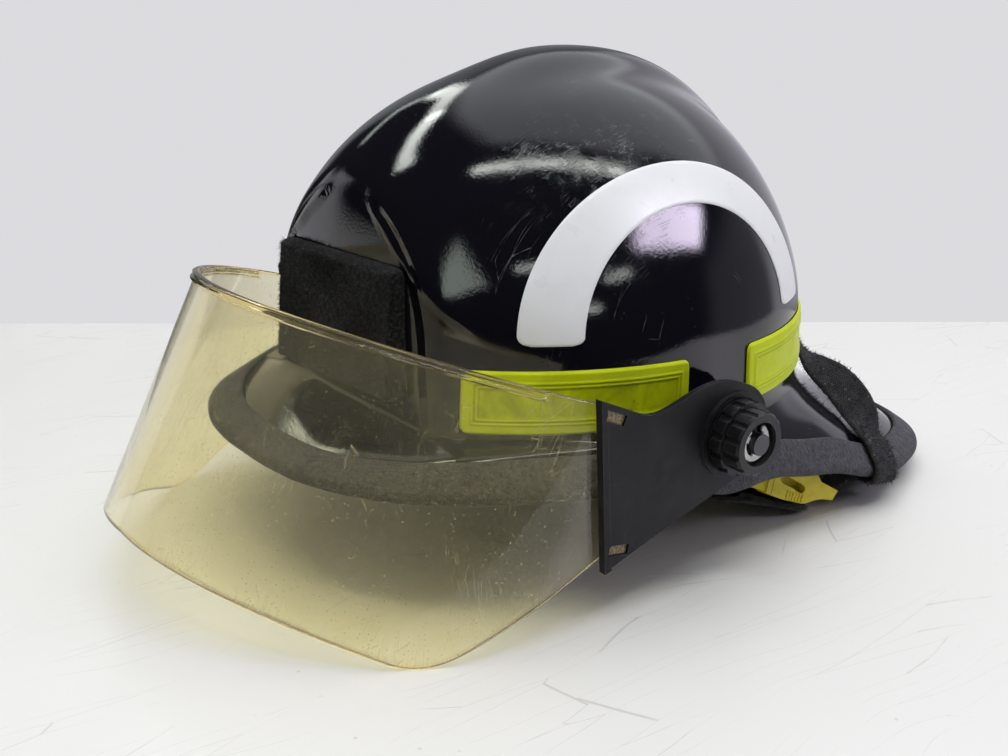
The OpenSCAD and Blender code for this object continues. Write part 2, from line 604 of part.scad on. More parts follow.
// A flat web along a run of points, each with the direction of its width.
function blend4(a, b, c, d, t) = 0.5 * (2 * b + (c - a) * t + (2 * a - 5 * b + 4 * c - d) * t * t
    + (3 * b - a - 3 * c + d) * t * t * t);
function run_pt(l, s) = let (n = len(l) - 1, i = min(floor(s), n - 1), t = s - i)
    blend4(l[max(0, i - 1)], l[i], l[i + 1], l[min(n, i + 2)], t);
module web(points, widths, width, thick, fine) {
    n = (len(points) - 1) * fine;
    loops = [for (k = [0:n]) let (s = k / fine, c = run_pt(points, s),
            t = unit(run_pt(points, min(n / fine, s + 0.02)) - run_pt(points, max(0, s - 0.02))),
            up = unit(cross(t, run_pt(widths, s))), w = cross(up, t))
        [c + w * width / 2 - up * thick / 2, c - w * width / 2 - up * thick / 2,
            c - w * width / 2 + up * thick / 2, c + w * width / 2 + up * thick / 2]];
    skin_loops(loops);
}

// Crown straps: three webs from key to key over the head, one above the other at the crossing
strap_r = band_out - web_thick / 2;
strap_z = band_top + 2 * seat;
module crown_strap(i, level) color("#55565b") {
    p = key_places[i];
    q = key_places[i + 3];
    r = strap_r - (i == 0 ? 0 : 2);
    start = [0, p.x, 0] + r * [cos(p.y), sin(p.y), 0];
    end = [0, q.x, 0] + r * [cos(q.y), sin(q.y), 0];
    mid = (start + end) / 2;
    half = (end - start) / 2;
    across = unit(cross([0, 0, 1], half));
    points = [for (k = [0:10]) let (t = 180 - 18 * k)
        mid + half * cos(t) + [0, 0, strap_z + (crown_rise + level) * sin(t)]];
    web(points, [for (p = points) across], strap_web, web_thick, 2);
}
strap_step = web_thick + seat + 1.2;
module crown_strap_a() { crown_strap(0, 0); }
module crown_strap_b() { crown_strap(1, strap_step); }
module crown_strap_c() { crown_strap(2, 2 * strap_step); }
// Thin domed pad under the crossing.
pad_r = 24;
pad_shell = 3;
function strap_drop(r) = (crown_rise + 1) * (1 - sqrt(1 - pow(r / (strap_r - 1), 2)));
module crown_pad() color("#6a6b70")
    translate([0, 0, strap_z + crown_rise - web_thick / 2 - 2 * seat]) rotate_extrude()
        polygon(concat([for (k = [0:6]) [pad_r * k / 6, -strap_drop(pad_r * k / 6)]],
            [for (k = [6:-1:0]) [pad_r * k / 6, -strap_drop(pad_r * k / 6) - pad_shell]]));

// Rear adjuster: a curved housing, two toothed tails and a dial
dial_z = tail_z + tail_height / 2;
house_in = band_r - 1;
house_out = tail_out + seat + 2;
house_half = 23;
module ratchet_housing() color("#232428") difference() {
    arc_wall(band_rear_y, house_in, house_out, tail_z - 4, tail_height + 8, 90 - house_half, 90 + house_half);
    arc_wall(band_rear_y, tail_in - seat, tail_out + seat, tail_z - seat, tail_height + 2 * seat,
        90 - house_half - 2, 90 + house_half + 2);
    translate([0, band_rear_y + house_in - 5, dial_z]) rotate([-90, 0, 0]) cylinder(r = 4 + fit, h = 30);
}
module ratchet_dial() color("#1a1a1d")
    translate([0, band_rear_y + house_out + seat, dial_z]) rotate([-90, 0, 0]) {
    difference() {
        cylinder(r = dial_r, h = dial_thick);
        for (k = [0:dial_grips - 1]) rotate(360 * k / dial_grips) translate([dial_r + 1, 0, -1])
            cylinder(r = 2.2, h = dial_thick + 2);
        translate([0, 0, dial_thick - 1.5]) cylinder(r = dial_r - 6, h = 3);
    }
    translate([0, 0, house_in - house_out - seat + 2.5]) cylinder(r = 4, h = house_out - house_in + 1);
}
module adjuster_tail(inner) difference() {
    arc_wall(band_rear_y, inner, inner + tail_thick, tail_z, tail_height, 47, 104);
    arc_wall(band_rear_y, inner - 1, inner + tail_thick + 1, dial_z - 4.6, 9.2, 70, 96.5);
}
module adjuster_tail_left() color("#303136") adjuster_tail(tail_in);
module adjuster_tail_right() color("#303136") mirror([1, 0, 0]) adjuster_tail(tail_mid);

// Ear flap: hanging cloth with shallow folds. On the left its hem spreads out over the table.
flap_from = 33;
flap_out = dome_half_width - 9;
flap_tuck = dome_half_width - 32;
flap_back = dome_rear_reach - 3.4;
flap_steps = 40;
flap_levels = [0, 1, 1.5, 2, 2.5, 3, 3.35, 3.7, 4];
flap_last = len(flap_levels) - 1;
function flap_mid(a, level) = let (
        end = pow(clamp((flap_from + 12 - a) / 12), 1.5) + pow(clamp((a - 168 + flap_from) / 12), 1.5),
        hem = mix(flap_out - 6, flap_hem_half, clamp((54 - a) / 14)),
        keys = [[flap_out, flap_back, 60, 2.1], [flap_out - 2, flap_back, 52, 2.1],
            [flap_tuck, flap_back + 5.4, 30, 2.3], [flap_tuck - 0.8, flap_back + 8.4, 4, 2.4],
            [hem, flap_back + 12.4, flap_thick / 2, 2.6]],
        i = min(3, floor(level)), t = level - i,
        f = [for (k = [0:3]) mix(keys[i][k], keys[i + 1][k], t)],
        wave = flap_fold * sin(a * 12) * clamp(level - 1) * level / 4,
        half = mix(f[0], min(f[0], flap_out - 14), end * clamp(level - 3)),
        r = oval(a, half, half, f[1], f[3]) + wave,
        raise = end * clamp((level - 2) / 2) * 12)
    [r * cos(a), dome_y + r * sin(a), f[2] + raise];
function flap_pt(a, level, off) = let (
        d = flap_mid(a, min(4, level + 0.05)) - flap_mid(a, max(0, level - 0.05)),
        o = [cos(a), sin(a), 0], n = unit(o * -d.z + [0, 0, d.x * o.x + d.y * o.y]))
    flap_mid(a, level) + n * off;
module ear_flap() color("#161618")
    skin_loops([for (i = [0:flap_steps]) let (a = mix(flap_from, 180 - flap_from, i / flap_steps))
        concat([for (k = [flap_last:-1:0]) flap_pt(a, flap_levels[k], flap_thick / 2)],
            [for (k = [0:flap_last]) flap_pt(a, flap_levels[k], -flap_thick / 2)])]);
// Level of the shell's inner face at a height, found by halving.
function inner_level(a, z, lo, hi, k) = k == 0 ? (lo + hi) / 2 : let (m = (lo + hi) / 2)
    skin_pt(a, m, -shell_wall).z > z ? inner_level(a, z, m, hi, k - 1) : inner_level(a, z, lo, m, k - 1);
// Snaps that hold the flap's upper edge to the shell.
module flap_snaps() color("#3c3d42") for (a = [39, 64, 116, 141]) {
    p = flap_pt(a, 0.5, flap_thick / 2 + 4 * seat);
    q = skin_pt(a, inner_level(a, p.z + 4, 1, 3, 12), -shell_wall);
    reach = (q - p) * [cos(a), sin(a), 0];
    translate(p) rotate([0, 90, a]) cylinder(r = 3.4, h = max(1, reach - 6.4));
}

// Chin strap, stowed round the back of the dome and over the brim on both sides
cross_a = 49;
over_gap = seat + web_thick / 2 + 1.3;
over_lift = 2.8;
trim_t = trim_thick / 2;
function over_pt(k) = skin_pt(mix(90, cross_a, 1 - pow(1 - k, 1.2)), mix(1.5, 2.93, pow(k, 1.25)),
    over_gap + over_lift * sin(180 * pow(k, 0.8)));
function over_up(k) = let (a = mix(90, cross_a, 1 - pow(1 - k, 1.2)), s = mix(1.5, 2.93, pow(k, 1.25)))
    unit(cross(skin_pt(a + 2, s, 0) - skin_pt(a - 2, s, 0), skin_pt(a, s - 0.1, 0) - skin_pt(a, s + 0.1, 0)));
brim_along = unit(brim_edge(cross_a + 4) - brim_edge(cross_a - 4));
wrap_dir = unit(cross(brim_along, brim_up(cross_a)));
wrap_up = cross(wrap_dir, brim_along);
wrap_gap = seat + web_thick / 2 + 0.5;
wrap = [for (q = [[-trim_cover - 4, over_gap + 0.4], [-trim_cover + 1, trim_mid + trim_t + wrap_gap + 0.3],
        [trim_tip - 4, trim_mid + trim_t + wrap_gap + 0.2], [trim_tip + wrap_gap - 0.1, trim_mid + 2],
        [trim_tip + wrap_gap + 0.1, trim_mid - 1.5], [trim_tip - 3, trim_mid - trim_t - wrap_gap - 0.6],
        [-2, trim_mid - trim_t - wrap_gap - 1.2]]) brim_edge(cross_a) + wrap_dir * q.x + wrap_up * q.y];
module chin_strap() color("#131315") {
    left = concat([for (k = [0:7]) over_pt(k / 8)], wrap);
    width_left = concat([for (k = [0:7]) let (t = unit(over_pt(k / 8 + 0.02) - over_pt(k / 8)))
        cross(t, over_up(k / 8))], [for (q = wrap) -brim_along]);
    n = len(left);
    flip = function (l) [for (k = [n - 1:-1:1]) [-l[k].x, l[k].y, l[k].z]];
    web(concat(flip(left), left), concat(flip(width_left), width_left), chin_web, web_thick, 2);
}
// Buckle frame: along the buckle to the rear, across it upward, and out of its face.
buckle_at = [dome_half_width - 17.4, 67.1, 20.3];
anchor_x = dome_half_width - 10;
buckle_turn = [77.6, 20, 73];
function turned(p, t) = let (
        q = [p.x, p.y * cos(t.x) - p.z * sin(t.x), p.y * sin(t.x) + p.z * cos(t.x)],
        r = [q.x * cos(t.y) + q.z * sin(t.y), q.y, q.z * cos(t.y) - q.x * sin(t.y)])
    [r.x * cos(t.z) - r.y * sin(t.z), r.x * sin(t.z) + r.y * cos(t.z), r.z];
function on_buckle(p) = buckle_at + turned(p, buckle_turn);
buckle_across = turned([0, 1, 0], buckle_turn);
module buckle_frame() { translate(buckle_at) rotate(buckle_turn) children(); }
end_web = buckle_width - 3.6;
web_z = -buckle_thick / 2 - seat - web_thick / 2;
// Tails of the chin strap that run forward under the brim: left to the buckle, right to its anchor.
strap_end = wrap[len(wrap) - 1];
tail_dir = unit(strap_end - wrap[len(wrap) - 2]);
// Each tail is sewn flat under an end of the strap and runs forward from there.
lap = strap_end + tail_dir * 2 + unit(cross(tail_dir, brim_along)) * (web_thick + 2 * seat);
lap_front = lap - brim_along * 7;
lap_points = [lap + brim_along * 8, lap, lap_front, lap_front + [-2.5, -7.7, -1.2]];
lap_widths = [tail_dir, tail_dir, tail_dir * 0.8 + buckle_across * 0.2, [-0.4, 0.3, 0.85]];
anchor_pt = [anchor_x, 12, 60];
anchor_width = [0, 0.9, 0.43];
module strap_tails() color("#131315") {
    web(concat(lap_points, [on_buckle([29, 4, web_z - 1.2]), on_buckle([21, 2, web_z - 0.2]),
        on_buckle([13, 1, web_z]), on_buckle([5, 1, web_z])]),
        concat(lap_widths, [for (k = [1:4]) buckle_across]), end_web, web_thick, 3);
    mirror([1, 0, 0]) web(concat(lap_points, [[anchor_x - 7, 90, 13], [anchor_x - 7, 68, 22],
        [anchor_x - 4, 46, 32], [anchor_x - 0.5, 26, 46], anchor_pt]),
        concat(lap_widths, [[-0.3, 0.4, 0.85], [0, 0.4, 0.9], [0, 0.6, 0.8], [0, 0.8, 0.6], anchor_width]),
        end_web, web_thick, 3);
}
module anchor_strap_left() color("#131315")
    web([anchor_pt, [anchor_x - 0.8, 20, 50], [anchor_x - 6, 31, 40], on_buckle([-32, 1, 0]),
        on_buckle([-25, 1, 0]), on_buckle([-19, 1, 0]), on_buckle([-13, 1, 0])],
        concat([anchor_width, [0, 0.85, 0.55], [0, 0.7, 0.7]], [for (k = [1:4]) buckle_across]),
        end_web, web_thick, 3);
// Plates that hold the two strap ends to the inside of the wall.
module strap_anchors() color("#5a5b60") both_sides() {
    face = anchor_x + web_thick / 2 + 2 * seat;
    far = wall_reach(anchor_pt.y, 0, -shell_wall - 2 * seat, 100, 6);
    translate([face, anchor_pt.y, anchor_pt.z + 2]) rotate([0, 90, 0])
        linear_extrude(far - face) rounded(14, 16, 3);
}

// Side-release buckle: a hollow body and a prong that slides out of it
gap_x = -4;
module buckle_sleeve(from, to) {
    w = end_web + 2 * seat;
    z = web_thick + 2 * seat;
    translate([(from + to) / 2, 1, web_z - z / 2 - 0.7]) difference() {
        translate([0, 0, z / 2]) cube([to - from, w + 3.2, z + 2.4], center = true);
        translate([0, 0, z / 2 + 0.7]) cube([to - from + 2, w, z], center = true);
    }
}
module buckle_body() color("#e0b81c") buckle_frame() {
    h = buckle_width / 2;
    t = buckle_thick;
    end = buckle_length + gap_x;
    difference() {
        union() {
            linear_extrude(t, center = true) polygon(concat(
                [[gap_x, 0.6 - h], [gap_x + 8, -h], [end - 19, 0.5 - h]],
                [for (k = [0:6]) bezier([end - 19, 0.5 - h], [end - 14, 1 - h], [end - 14, 5 - h],
                    [end - 2, 5.6 - h], k / 6)],
                [[end, 1.4], [end - 11, 3.4], [end - 16, 8], [end - 18, h - 0.4], [gap_x, h]]));
            for (k = [0:5]) translate([gap_x + 9 + k * 1.8, 2.4 - h, t / 2]) rotate([90, 0, 0])
                cylinder(r = 0.5, h = 4.4, center = true);
        }
        translate([gap_x - 1, 1 - 6.8, -2]) cube([19, 13.6, 4]);
        translate([gap_x + 9.5, -1.4, t / 2 - 1]) linear_extrude(8, center = true) hull() {
            translate([-4, 1.6]) circle(r = 2.1, $fn = 24);
            translate([7, -0.8]) circle(r = 2.1, $fn = 24);
        }
    }
    buckle_sleeve(gap_x + 4, gap_x + 17);
}
module buckle_prong() color("#e0b81c") buckle_frame() {
    h = buckle_width / 2;
    t = buckle_thick;
    x = gap_x - seat;
    linear_extrude(t, center = true)
        polygon([[x - 2.8, 0.9 - h], [x, 0.7 - h], [x, h - 0.2], [x - 2.8, h - 0.3]]);
    difference() {
        linear_extrude(t - 2, center = true) polygon([[x - 17, 2.4 - h], [x - 2.7, 1.4 - h],
            [x - 2.7, h - 0.6], [x - 14, h - 0.8], [x - 19, h - 3], [x - 19, 4 - h]]);
        translate([x - 20, 1 - end_web / 2 - seat, -web_thick / 2 - seat])
            cube([12.5, end_web + 2 * seat, web_thick + 2 * seat]);
    }
    linear_extrude(4 - 2 * fit, center = true) for (g = [-1, 1]) translate([0, 1]) scale([1, g])
        polygon([[x - 1, 3.4], [x + 9, 3.2], [x + 15, 4.2], [x + 16.4, 5.4], [x + 12.6, 6.5], [x + 12.4, 5.6],
            [x - 1, 6.2]]);
}

outer_shell();
edge_trim();
impact_liner();
stripe_front_left();
stripe_front_right();
stripe_rear_left();
stripe_rear_right();
side_arch_left();
side_arch_right();
front_pad();
pad_rivets();
face_shield();
shield_bracket_left();
shield_bracket_right();
pivot_base_left();
pivot_base_right();
pivot_stud_left();
pivot_stud_right();
friction_washer_left();
friction_washer_right();
pivot_knob_left();
pivot_knob_right();
retaining_clip_left();
retaining_clip_right();
headband();
brow_pad();
nape_pad();
suspension_keys();
crown_strap_a();
crown_strap_b();
crown_strap_c();
crown_pad();
ratchet_housing();
ratchet_dial();
adjuster_tail_left();
adjuster_tail_right();
ear_flap();
flap_snaps();
chin_strap();
strap_tails();
anchor_strap_left();
strap_anchors();
buckle_body();
buckle_prong();
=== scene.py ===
"""Looks of a fire helmet with its face shield down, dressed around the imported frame.

X points to the wearer's left, Y to the rear and Z up. The helmet's own forms are worked out in
millimetres and angles in degrees, as its construction is, and turned into metres with each mesh.
"""
import math

import bpy
import numpy as np
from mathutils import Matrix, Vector


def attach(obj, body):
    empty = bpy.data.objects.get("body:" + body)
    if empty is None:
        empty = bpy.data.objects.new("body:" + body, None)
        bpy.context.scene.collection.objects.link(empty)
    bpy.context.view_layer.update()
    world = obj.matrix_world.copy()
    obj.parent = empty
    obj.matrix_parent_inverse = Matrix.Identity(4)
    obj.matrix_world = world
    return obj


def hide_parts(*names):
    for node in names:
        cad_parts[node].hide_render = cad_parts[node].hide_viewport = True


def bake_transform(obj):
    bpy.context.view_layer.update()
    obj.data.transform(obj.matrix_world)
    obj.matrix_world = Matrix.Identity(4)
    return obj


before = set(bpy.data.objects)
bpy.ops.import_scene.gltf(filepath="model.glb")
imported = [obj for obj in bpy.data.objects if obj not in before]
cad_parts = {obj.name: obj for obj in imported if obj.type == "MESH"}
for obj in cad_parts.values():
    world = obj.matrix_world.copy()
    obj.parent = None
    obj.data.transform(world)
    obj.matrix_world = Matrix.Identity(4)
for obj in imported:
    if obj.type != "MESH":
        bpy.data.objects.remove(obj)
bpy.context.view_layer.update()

MM = 0.001

# Dome
dome_half_width = 107
dome_front_reach = 128
dome_rear_reach = 131
dome_rise = 107
stripe_z = 98
dome_y = -4
dome_power = 1.95
shell_wall = 2.6
ridge_height = 7
ridge_half_width = 22
ridge_start_y = dome_y - 28
panel_reach = 106.5
panel_y = dome_y - panel_reach
panel_blend = 6
panel_bow = 1.5
crease_x, crease_z = 58, 118
crease_lean_x, crease_lean_z = 0.617, 0.787
crease_height = 1.2
wall_flare = 1.5
stripe_height = 25.4
stripe_corner = 3.4
wall_drop = stripe_height + 2

# Brim and trim
brim_half = dome_half_width + wall_flare + 3
brim_front_reach = 155
brim_rear_reach = 208
brim_y = 1
brim_z = 38.5
brim_fall = 24.5
brim_slope_front = 12
brim_slope_rear = 28
ear_rise = 10
trim_cover = 11
trim_tip = 6
trim_thick = 7.4
trim_mid = -shell_wall / 2
lip = trim_cover + 1

# Face shield
lens_thick = 2.4
lens_reach = 182.5
lens_centre_drop = 107.5
lens_lean = 11
lens_dip = 5
lens_lobe_drop = 115.6
lens_lobe_run = 137
lens_rise_rate = 0.96
lens_tail_y = -66
lens_tail = 20
shield_tilt = 21.1
rib_height = 3.6
rib_step = 1.6
rib_end = 96
lens_in = brim_half + trim_thick / 2 - shell_wall / 2 + 2
lens_mid = lens_in + lens_thick / 2
pivot_z = 67.2
plate_reach = 79
tab_width, tab_height = 11, 4.2
fit = 0.15

# Suspension
seat = 0.3
band_r = 73
band_y = 6
band_straight = 46
band_z = 40
band_height = 32
web_thick = 1.8
band_out = band_r + 2.2
band_top = band_z + band_height
band_front_y = band_y - band_straight / 2
band_rear_y = band_y + band_straight / 2
crown_rise = 95
strap_web = 19
strap_step = web_thick + seat + 1.2

# Flap and chin strap
flap_thick = 3.2
flap_hem_half = 114
flap_fold = 2.6
flap_levels = 4
hem_level, stitch_level = 3.86, 3.70
flap_from = 33
flap_out = dome_half_width - 9
flap_tuck = dome_half_width - 32
flap_back = dome_rear_reach - 3.4
chin_web = 22
buckle_width = 18.6
buckle_thick = 8


def sind(a):
    return np.sin(np.radians(a))


def cosd(a):
    return np.cos(np.radians(a))


def mix(a, b, t):
    return a + (b - a) * t


def clamp(t):
    return np.clip(t, 0, 1)


def ease(t):
    t = clamp(t)
    return t * t * (3 - 2 * t)


def smooth_max(a, b, k):
    h = clamp(0.5 + 0.5 * (a - b) / k)
    return b + (a - b) * h + k * h * (1 - h)


def bezier(a, b, c, d, t):
    return a * (1 - t) ** 3 + b * 3 * t * (1 - t) ** 2 + c * 3 * t * t * (1 - t) + d * t ** 3


def unit(p):
    return p / np.maximum(np.linalg.norm(p, axis=-1, keepdims=True), 1e-9)


def stack(x, y, z):
    return np.stack(np.broadcast_arrays(x, y, z), axis=-1).astype(float)


def round_steps(count):
    return np.arange(count) * 360 / count


def run_along(points):
    """Distance along a row of points, from its first one."""
    return np.concatenate([[0], np.cumsum(np.linalg.norm(np.diff(points, axis=0), axis=1))])


# Surface of the shell, as in its construction
def oval(a, half, front, rear, power):
    reach = np.where(sind(a) < 0, front, rear)
    return ((np.abs(cosd(a)) / half) ** power + (np.abs(sind(a)) / reach) ** power) ** (-1 / power)


def crease(x, y, z):
    """Height of the raised line on each side of the front panel, which leans in toward the crown."""
    past = (np.abs(x) - crease_x) * crease_lean_x + (z - crease_z) * crease_lean_z - 2
    level = ease((past + 0.5) / 1.1) * np.exp(-(np.maximum(0, past) / 11) ** 2)
    on_front = ease((-y - 92) / 12) * ease((np.abs(x) - 10) / 12) * ease((z - 106) / 10)
    return crease_height * level * on_front


def dome_powers(a):
    """How full the dome is in plan and in height, from its front to its rear."""
    w = 0.5 + 0.5 * sind(a)
    return mix(0.98, 0.84, w), mix(0.96, 1.3, w)


def dome_pt(a, v, off):
    """A point of the dome: a runs round it, v from the crown to the stripe line."""
    round_power, rise_power = dome_powers(a)
    rad = sind(90 * v) ** round_power
    lift = np.maximum(0, cosd(90 * v)) ** rise_power
    r = rad * oval(a, dome_half_width + off, dome_front_reach + off, dome_rear_reach + off, dome_power)
    x, y, z = r * cosd(a), dome_y + r * sind(a), stripe_z + (dome_rise + off) * lift
    k = ridge_height * np.exp(-(np.abs(x) / ridge_half_width) ** 3)
    k = k / (1 + np.exp((ridge_start_y - y) / 12)) * ease((z - stripe_z - 10) / 40)
    d = unit(stack(x, y - dome_y, z - stripe_z + 20))
    y = smooth_max(y + d[..., 1] * k, panel_y - off, panel_blend) - crease(x, y, z)
    return stack(x + d[..., 0] * k, y, z + d[..., 2] * k)


def crown_pt(off):
    return dome_pt(np.array([90.0]), np.array([0.0]), off)


def wall_pt(a, u, off):
    """A point of the side wall under the stripe line, u from its top to its foot."""
    g = off + wall_flare * u
    r = oval(a, dome_half_width + g, dome_front_reach + g, dome_rear_reach + g, dome_power)
    y = smooth_max(dome_y + r * sind(a), panel_y - off, panel_blend)
    return stack(r * cosd(a), y, stripe_z - wall_drop * u)


def brim_power(a):
    return np.where(sind(a) < 0, 2.6, 3.25)


def ear_lift(a):
    side = np.degrees(np.arcsin(clamp(sind(a))))
    return ear_rise * ease(side / 22) * (1 - ease((side - 34) / 20))


def brim_edge(a):
    r = oval(a, brim_half, brim_front_reach, brim_rear_reach, brim_power(a))
    z = brim_z - brim_fall * sind(a) + 3.5 * cosd(2 * a) - 2.5 * sind(3 * a) + ear_lift(a)
    return stack(r * cosd(a), brim_y + r * sind(a), z)


def brim_out(a):
    n, e = brim_power(a), brim_edge(a)
    reach = np.where(sind(a) < 0, brim_front_reach, brim_rear_reach)
    x = np.sign(cosd(a)) * (np.abs(e[..., 0]) / brim_half) ** (n - 1) / brim_half
    y = np.sign(sind(a)) * (np.abs(e[..., 1] - brim_y) / reach) ** (n - 1) / reach
    return unit(stack(x, y, 0 * x))


def brim_frame(a):
    """Outward direction of the brim's slope, and the direction that stands on it."""
    slope = 78 * cosd(a) ** 2 + np.where(sind(a) < 0, brim_slope_front, brim_slope_rear) * sind(a) ** 2
    out, up = brim_out(a), np.array([0, 0, 1.0])
    c, s = cosd(slope)[..., None], sind(slope)[..., None]
    return out * c - up * s, out * s + up * c


def brim_pt(a, u, w):
    along, up = brim_frame(a)
    return brim_edge(a) + along * np.asarray(u)[..., None] + up * np.asarray(w)[..., None]


def flare_pt(a, t, off):
    p, q = wall_pt(a, 1, off), brim_pt(a, -lip + 0 * a, off)
    drop = stack(0 * a, 0 * a, 0.45 * (p[..., 2] - q[..., 2]))
    back = brim_frame(a)[0] * 0.35 * np.linalg.norm(q - p, axis=-1, keepdims=True)
    return bezier(p, p - drop, q - back, q, np.asarray(t)[..., None])


def skin_pt(a, s, off):
    """The whole outer surface in one run: 0 to 1 dome, 1 to 2 wall, 2 to 3 flare, 3 to 4 lip."""
    a, s, off = (x.astype(float) for x in np.broadcast_arrays(a, s, off))
    found = np.zeros(a.shape + (3,))
    runs = ((s <= 1, lambda q: dome_pt(a[q], s[q], off[q])),
            ((s > 1) & (s <= 2), lambda q: wall_pt(a[q], s[q] - 1, off[q])),
            ((s > 2) & (s <= 3), lambda q: flare_pt(a[q], s[q] - 2, off[q])),
            (s > 3, lambda q: brim_pt(a[q], -lip * (4 - s[q]), off[q])))
    for place, run in runs:
        if place.any():
            found[place] = run(place)
    return found


# Meshes
def piece_from(name, points, faces, material, uv=None, sharp=40, body="helmet"):
    """A piece from points in millimetres. uv has a pair for each point."""
    mesh = bpy.data.meshes.new(name)
    mesh.from_pydata((np.asarray(points).reshape(-1, 3) * MM).tolist(), [], faces)
    if uv is not None:
        layer = mesh.uv_layers.new(name="UVMap")
        corner = np.zeros(len(mesh.loops), np.int32)
        mesh.loops.foreach_get("vertex_index", corner)
        layer.data.foreach_set("uv", np.asarray(uv, float).reshape(-1, 2)[corner].ravel())
    mesh.polygons.foreach_set("use_smooth", [True] * len(mesh.polygons))
    mesh.set_sharp_from_angle(angle=math.radians(sharp))
    mesh.materials.append(material)
    mesh.validate()
    piece = bpy.data.objects.new(name, mesh)
    bpy.context.scene.collection.objects.link(piece)
    if body:
        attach(piece, body)
    return piece


def mark_points(piece, name, values):
    """Keeps a number for each point of a sheet, the same on both its sides, for its material."""
    layer = piece.data.attributes.new(name, "FLOAT", "POINT")
    layer.data.foreach_set("value", np.concatenate([values.ravel()] * 2).astype(np.float32))


def quads(rows, cols, wrap_rows=False, wrap_cols=False, start=0, flip=False):
    """Faces of a grid whose points run row by row."""
    i = np.arange(rows if wrap_rows else rows - 1)[:, None]
    j = np.arange(cols if wrap_cols else cols - 1)[None, :]
    a, b = i * cols + j, i * cols + (j + 1) % cols
    c, d = ((i + 1) % rows) * cols + (j + 1) % cols, ((i + 1) % rows) * cols + j
    order = (a, d, c, b) if flip else (a, b, c, d)
    return (np.stack(np.broadcast_arrays(*order), -1).reshape(-1, 4) + start).tolist()


def outward(points, faces):
    """The faces turned round if the closed mesh that they make is inside out."""
    p = np.asarray(points).reshape(-1, 3)
    volume = 0.0
    for size in set(map(len, faces)):
        f = np.array([q for q in faces if len(q) == size])
        for k in range(1, size - 1):
            volume += np.einsum("ij,ij->", p[f[:, 0]], np.cross(p[f[:, k]], p[f[:, k + 1]]))
    return faces if volume > 0 else [f[::-1] for f in faces]


def sheet_solid(outer, inner):
    """Points and faces of a closed sheet: two like grids joined round their borders."""
    rows, cols = outer.shape[:2]
    n = rows * cols
    points = np.concatenate([outer.reshape(-1, 3), inner.reshape(-1, 3)])
    faces = quads(rows, cols) + quads(rows, cols, start=n, flip=True)
    rim = list(range(cols)) + [i * cols + cols - 1 for i in range(1, rows)]
    rim += [(rows - 1) * cols + j for j in range(cols - 2, -1, -1)]
    rim += [i * cols for i in range(rows - 2, 0, -1)]
    for p, q in zip(rim, rim[1:] + rim[:1]):
        faces.append([q, p, p + n, q + n])
    return points, outward(points, faces)


def tube_solid(loops):
    """Points and faces of closed loops joined in a row, with a fan cap at each end."""
    rows, cols = loops.shape[:2]
    points = np.concatenate([loops.reshape(-1, 3), loops[0].mean(0)[None], loops[-1].mean(0)[None]])
    faces = quads(rows, cols, wrap_cols=True)
    first, last, o = rows * cols, rows * cols + 1, (rows - 1) * cols
    for j in range(cols):
        k = (j + 1) % cols
        faces += [[first, k, j], [last, o + j, o + k]]
    return points, outward(points, faces)


def capped_solid(first, rings, last):
    """Points and faces of rings in a row, with a single point before them and one after."""
    rows, cols = rings.shape[:2]
    end = 1 + (rows - 1) * cols
    points = np.concatenate([first, rings.reshape(-1, 3), last])
    faces = [[0, 1 + (j + 1) % cols, 1 + j] for j in range(cols)]
    faces += quads(rows, cols, wrap_cols=True, start=1, flip=True)
    faces += [[end + j, end + (j + 1) % cols, end + cols] for j in range(cols)]
    return points, outward(points, faces)


# Materials
class Graph:
    """Nodes under construction. An input takes a number, a vector, a color or another output."""

    def __init__(self, owner):
        owner.use_nodes = True
        self.nodes, self.links = owner.node_tree.nodes, owner.node_tree.links
        self.nodes.clear()

    def plug(self, socket, value):
        if isinstance(value, bpy.types.NodeSocket):
            self.links.new(value, socket)
        elif hasattr(value, "__len__") and socket.type == "RGBA":
            socket.default_value = (*value[:3], 1)
        else:
            socket.default_value = value

    def node(self, kind, out, values, **options):
        made = self.nodes.new(kind)
        for key, value in options.items():
            setattr(made, key, value)
        for key, value in values.items():
            self.plug(made.inputs[key], value)
        return made.outputs[out]

    def math(self, kind, a, b=0.0):
        return self.node("ShaderNodeMath", 0, {0: a, 1: b}, operation=kind)

    def times(self, a, b):
        return self.math("MULTIPLY", a, b)

    def most(self, a, b):
        return self.math("MAXIMUM", a, b)

    def either(self, factor, first, second):
        return self.node("ShaderNodeMixShader", 0, {0: factor, 1: first, 2: second})


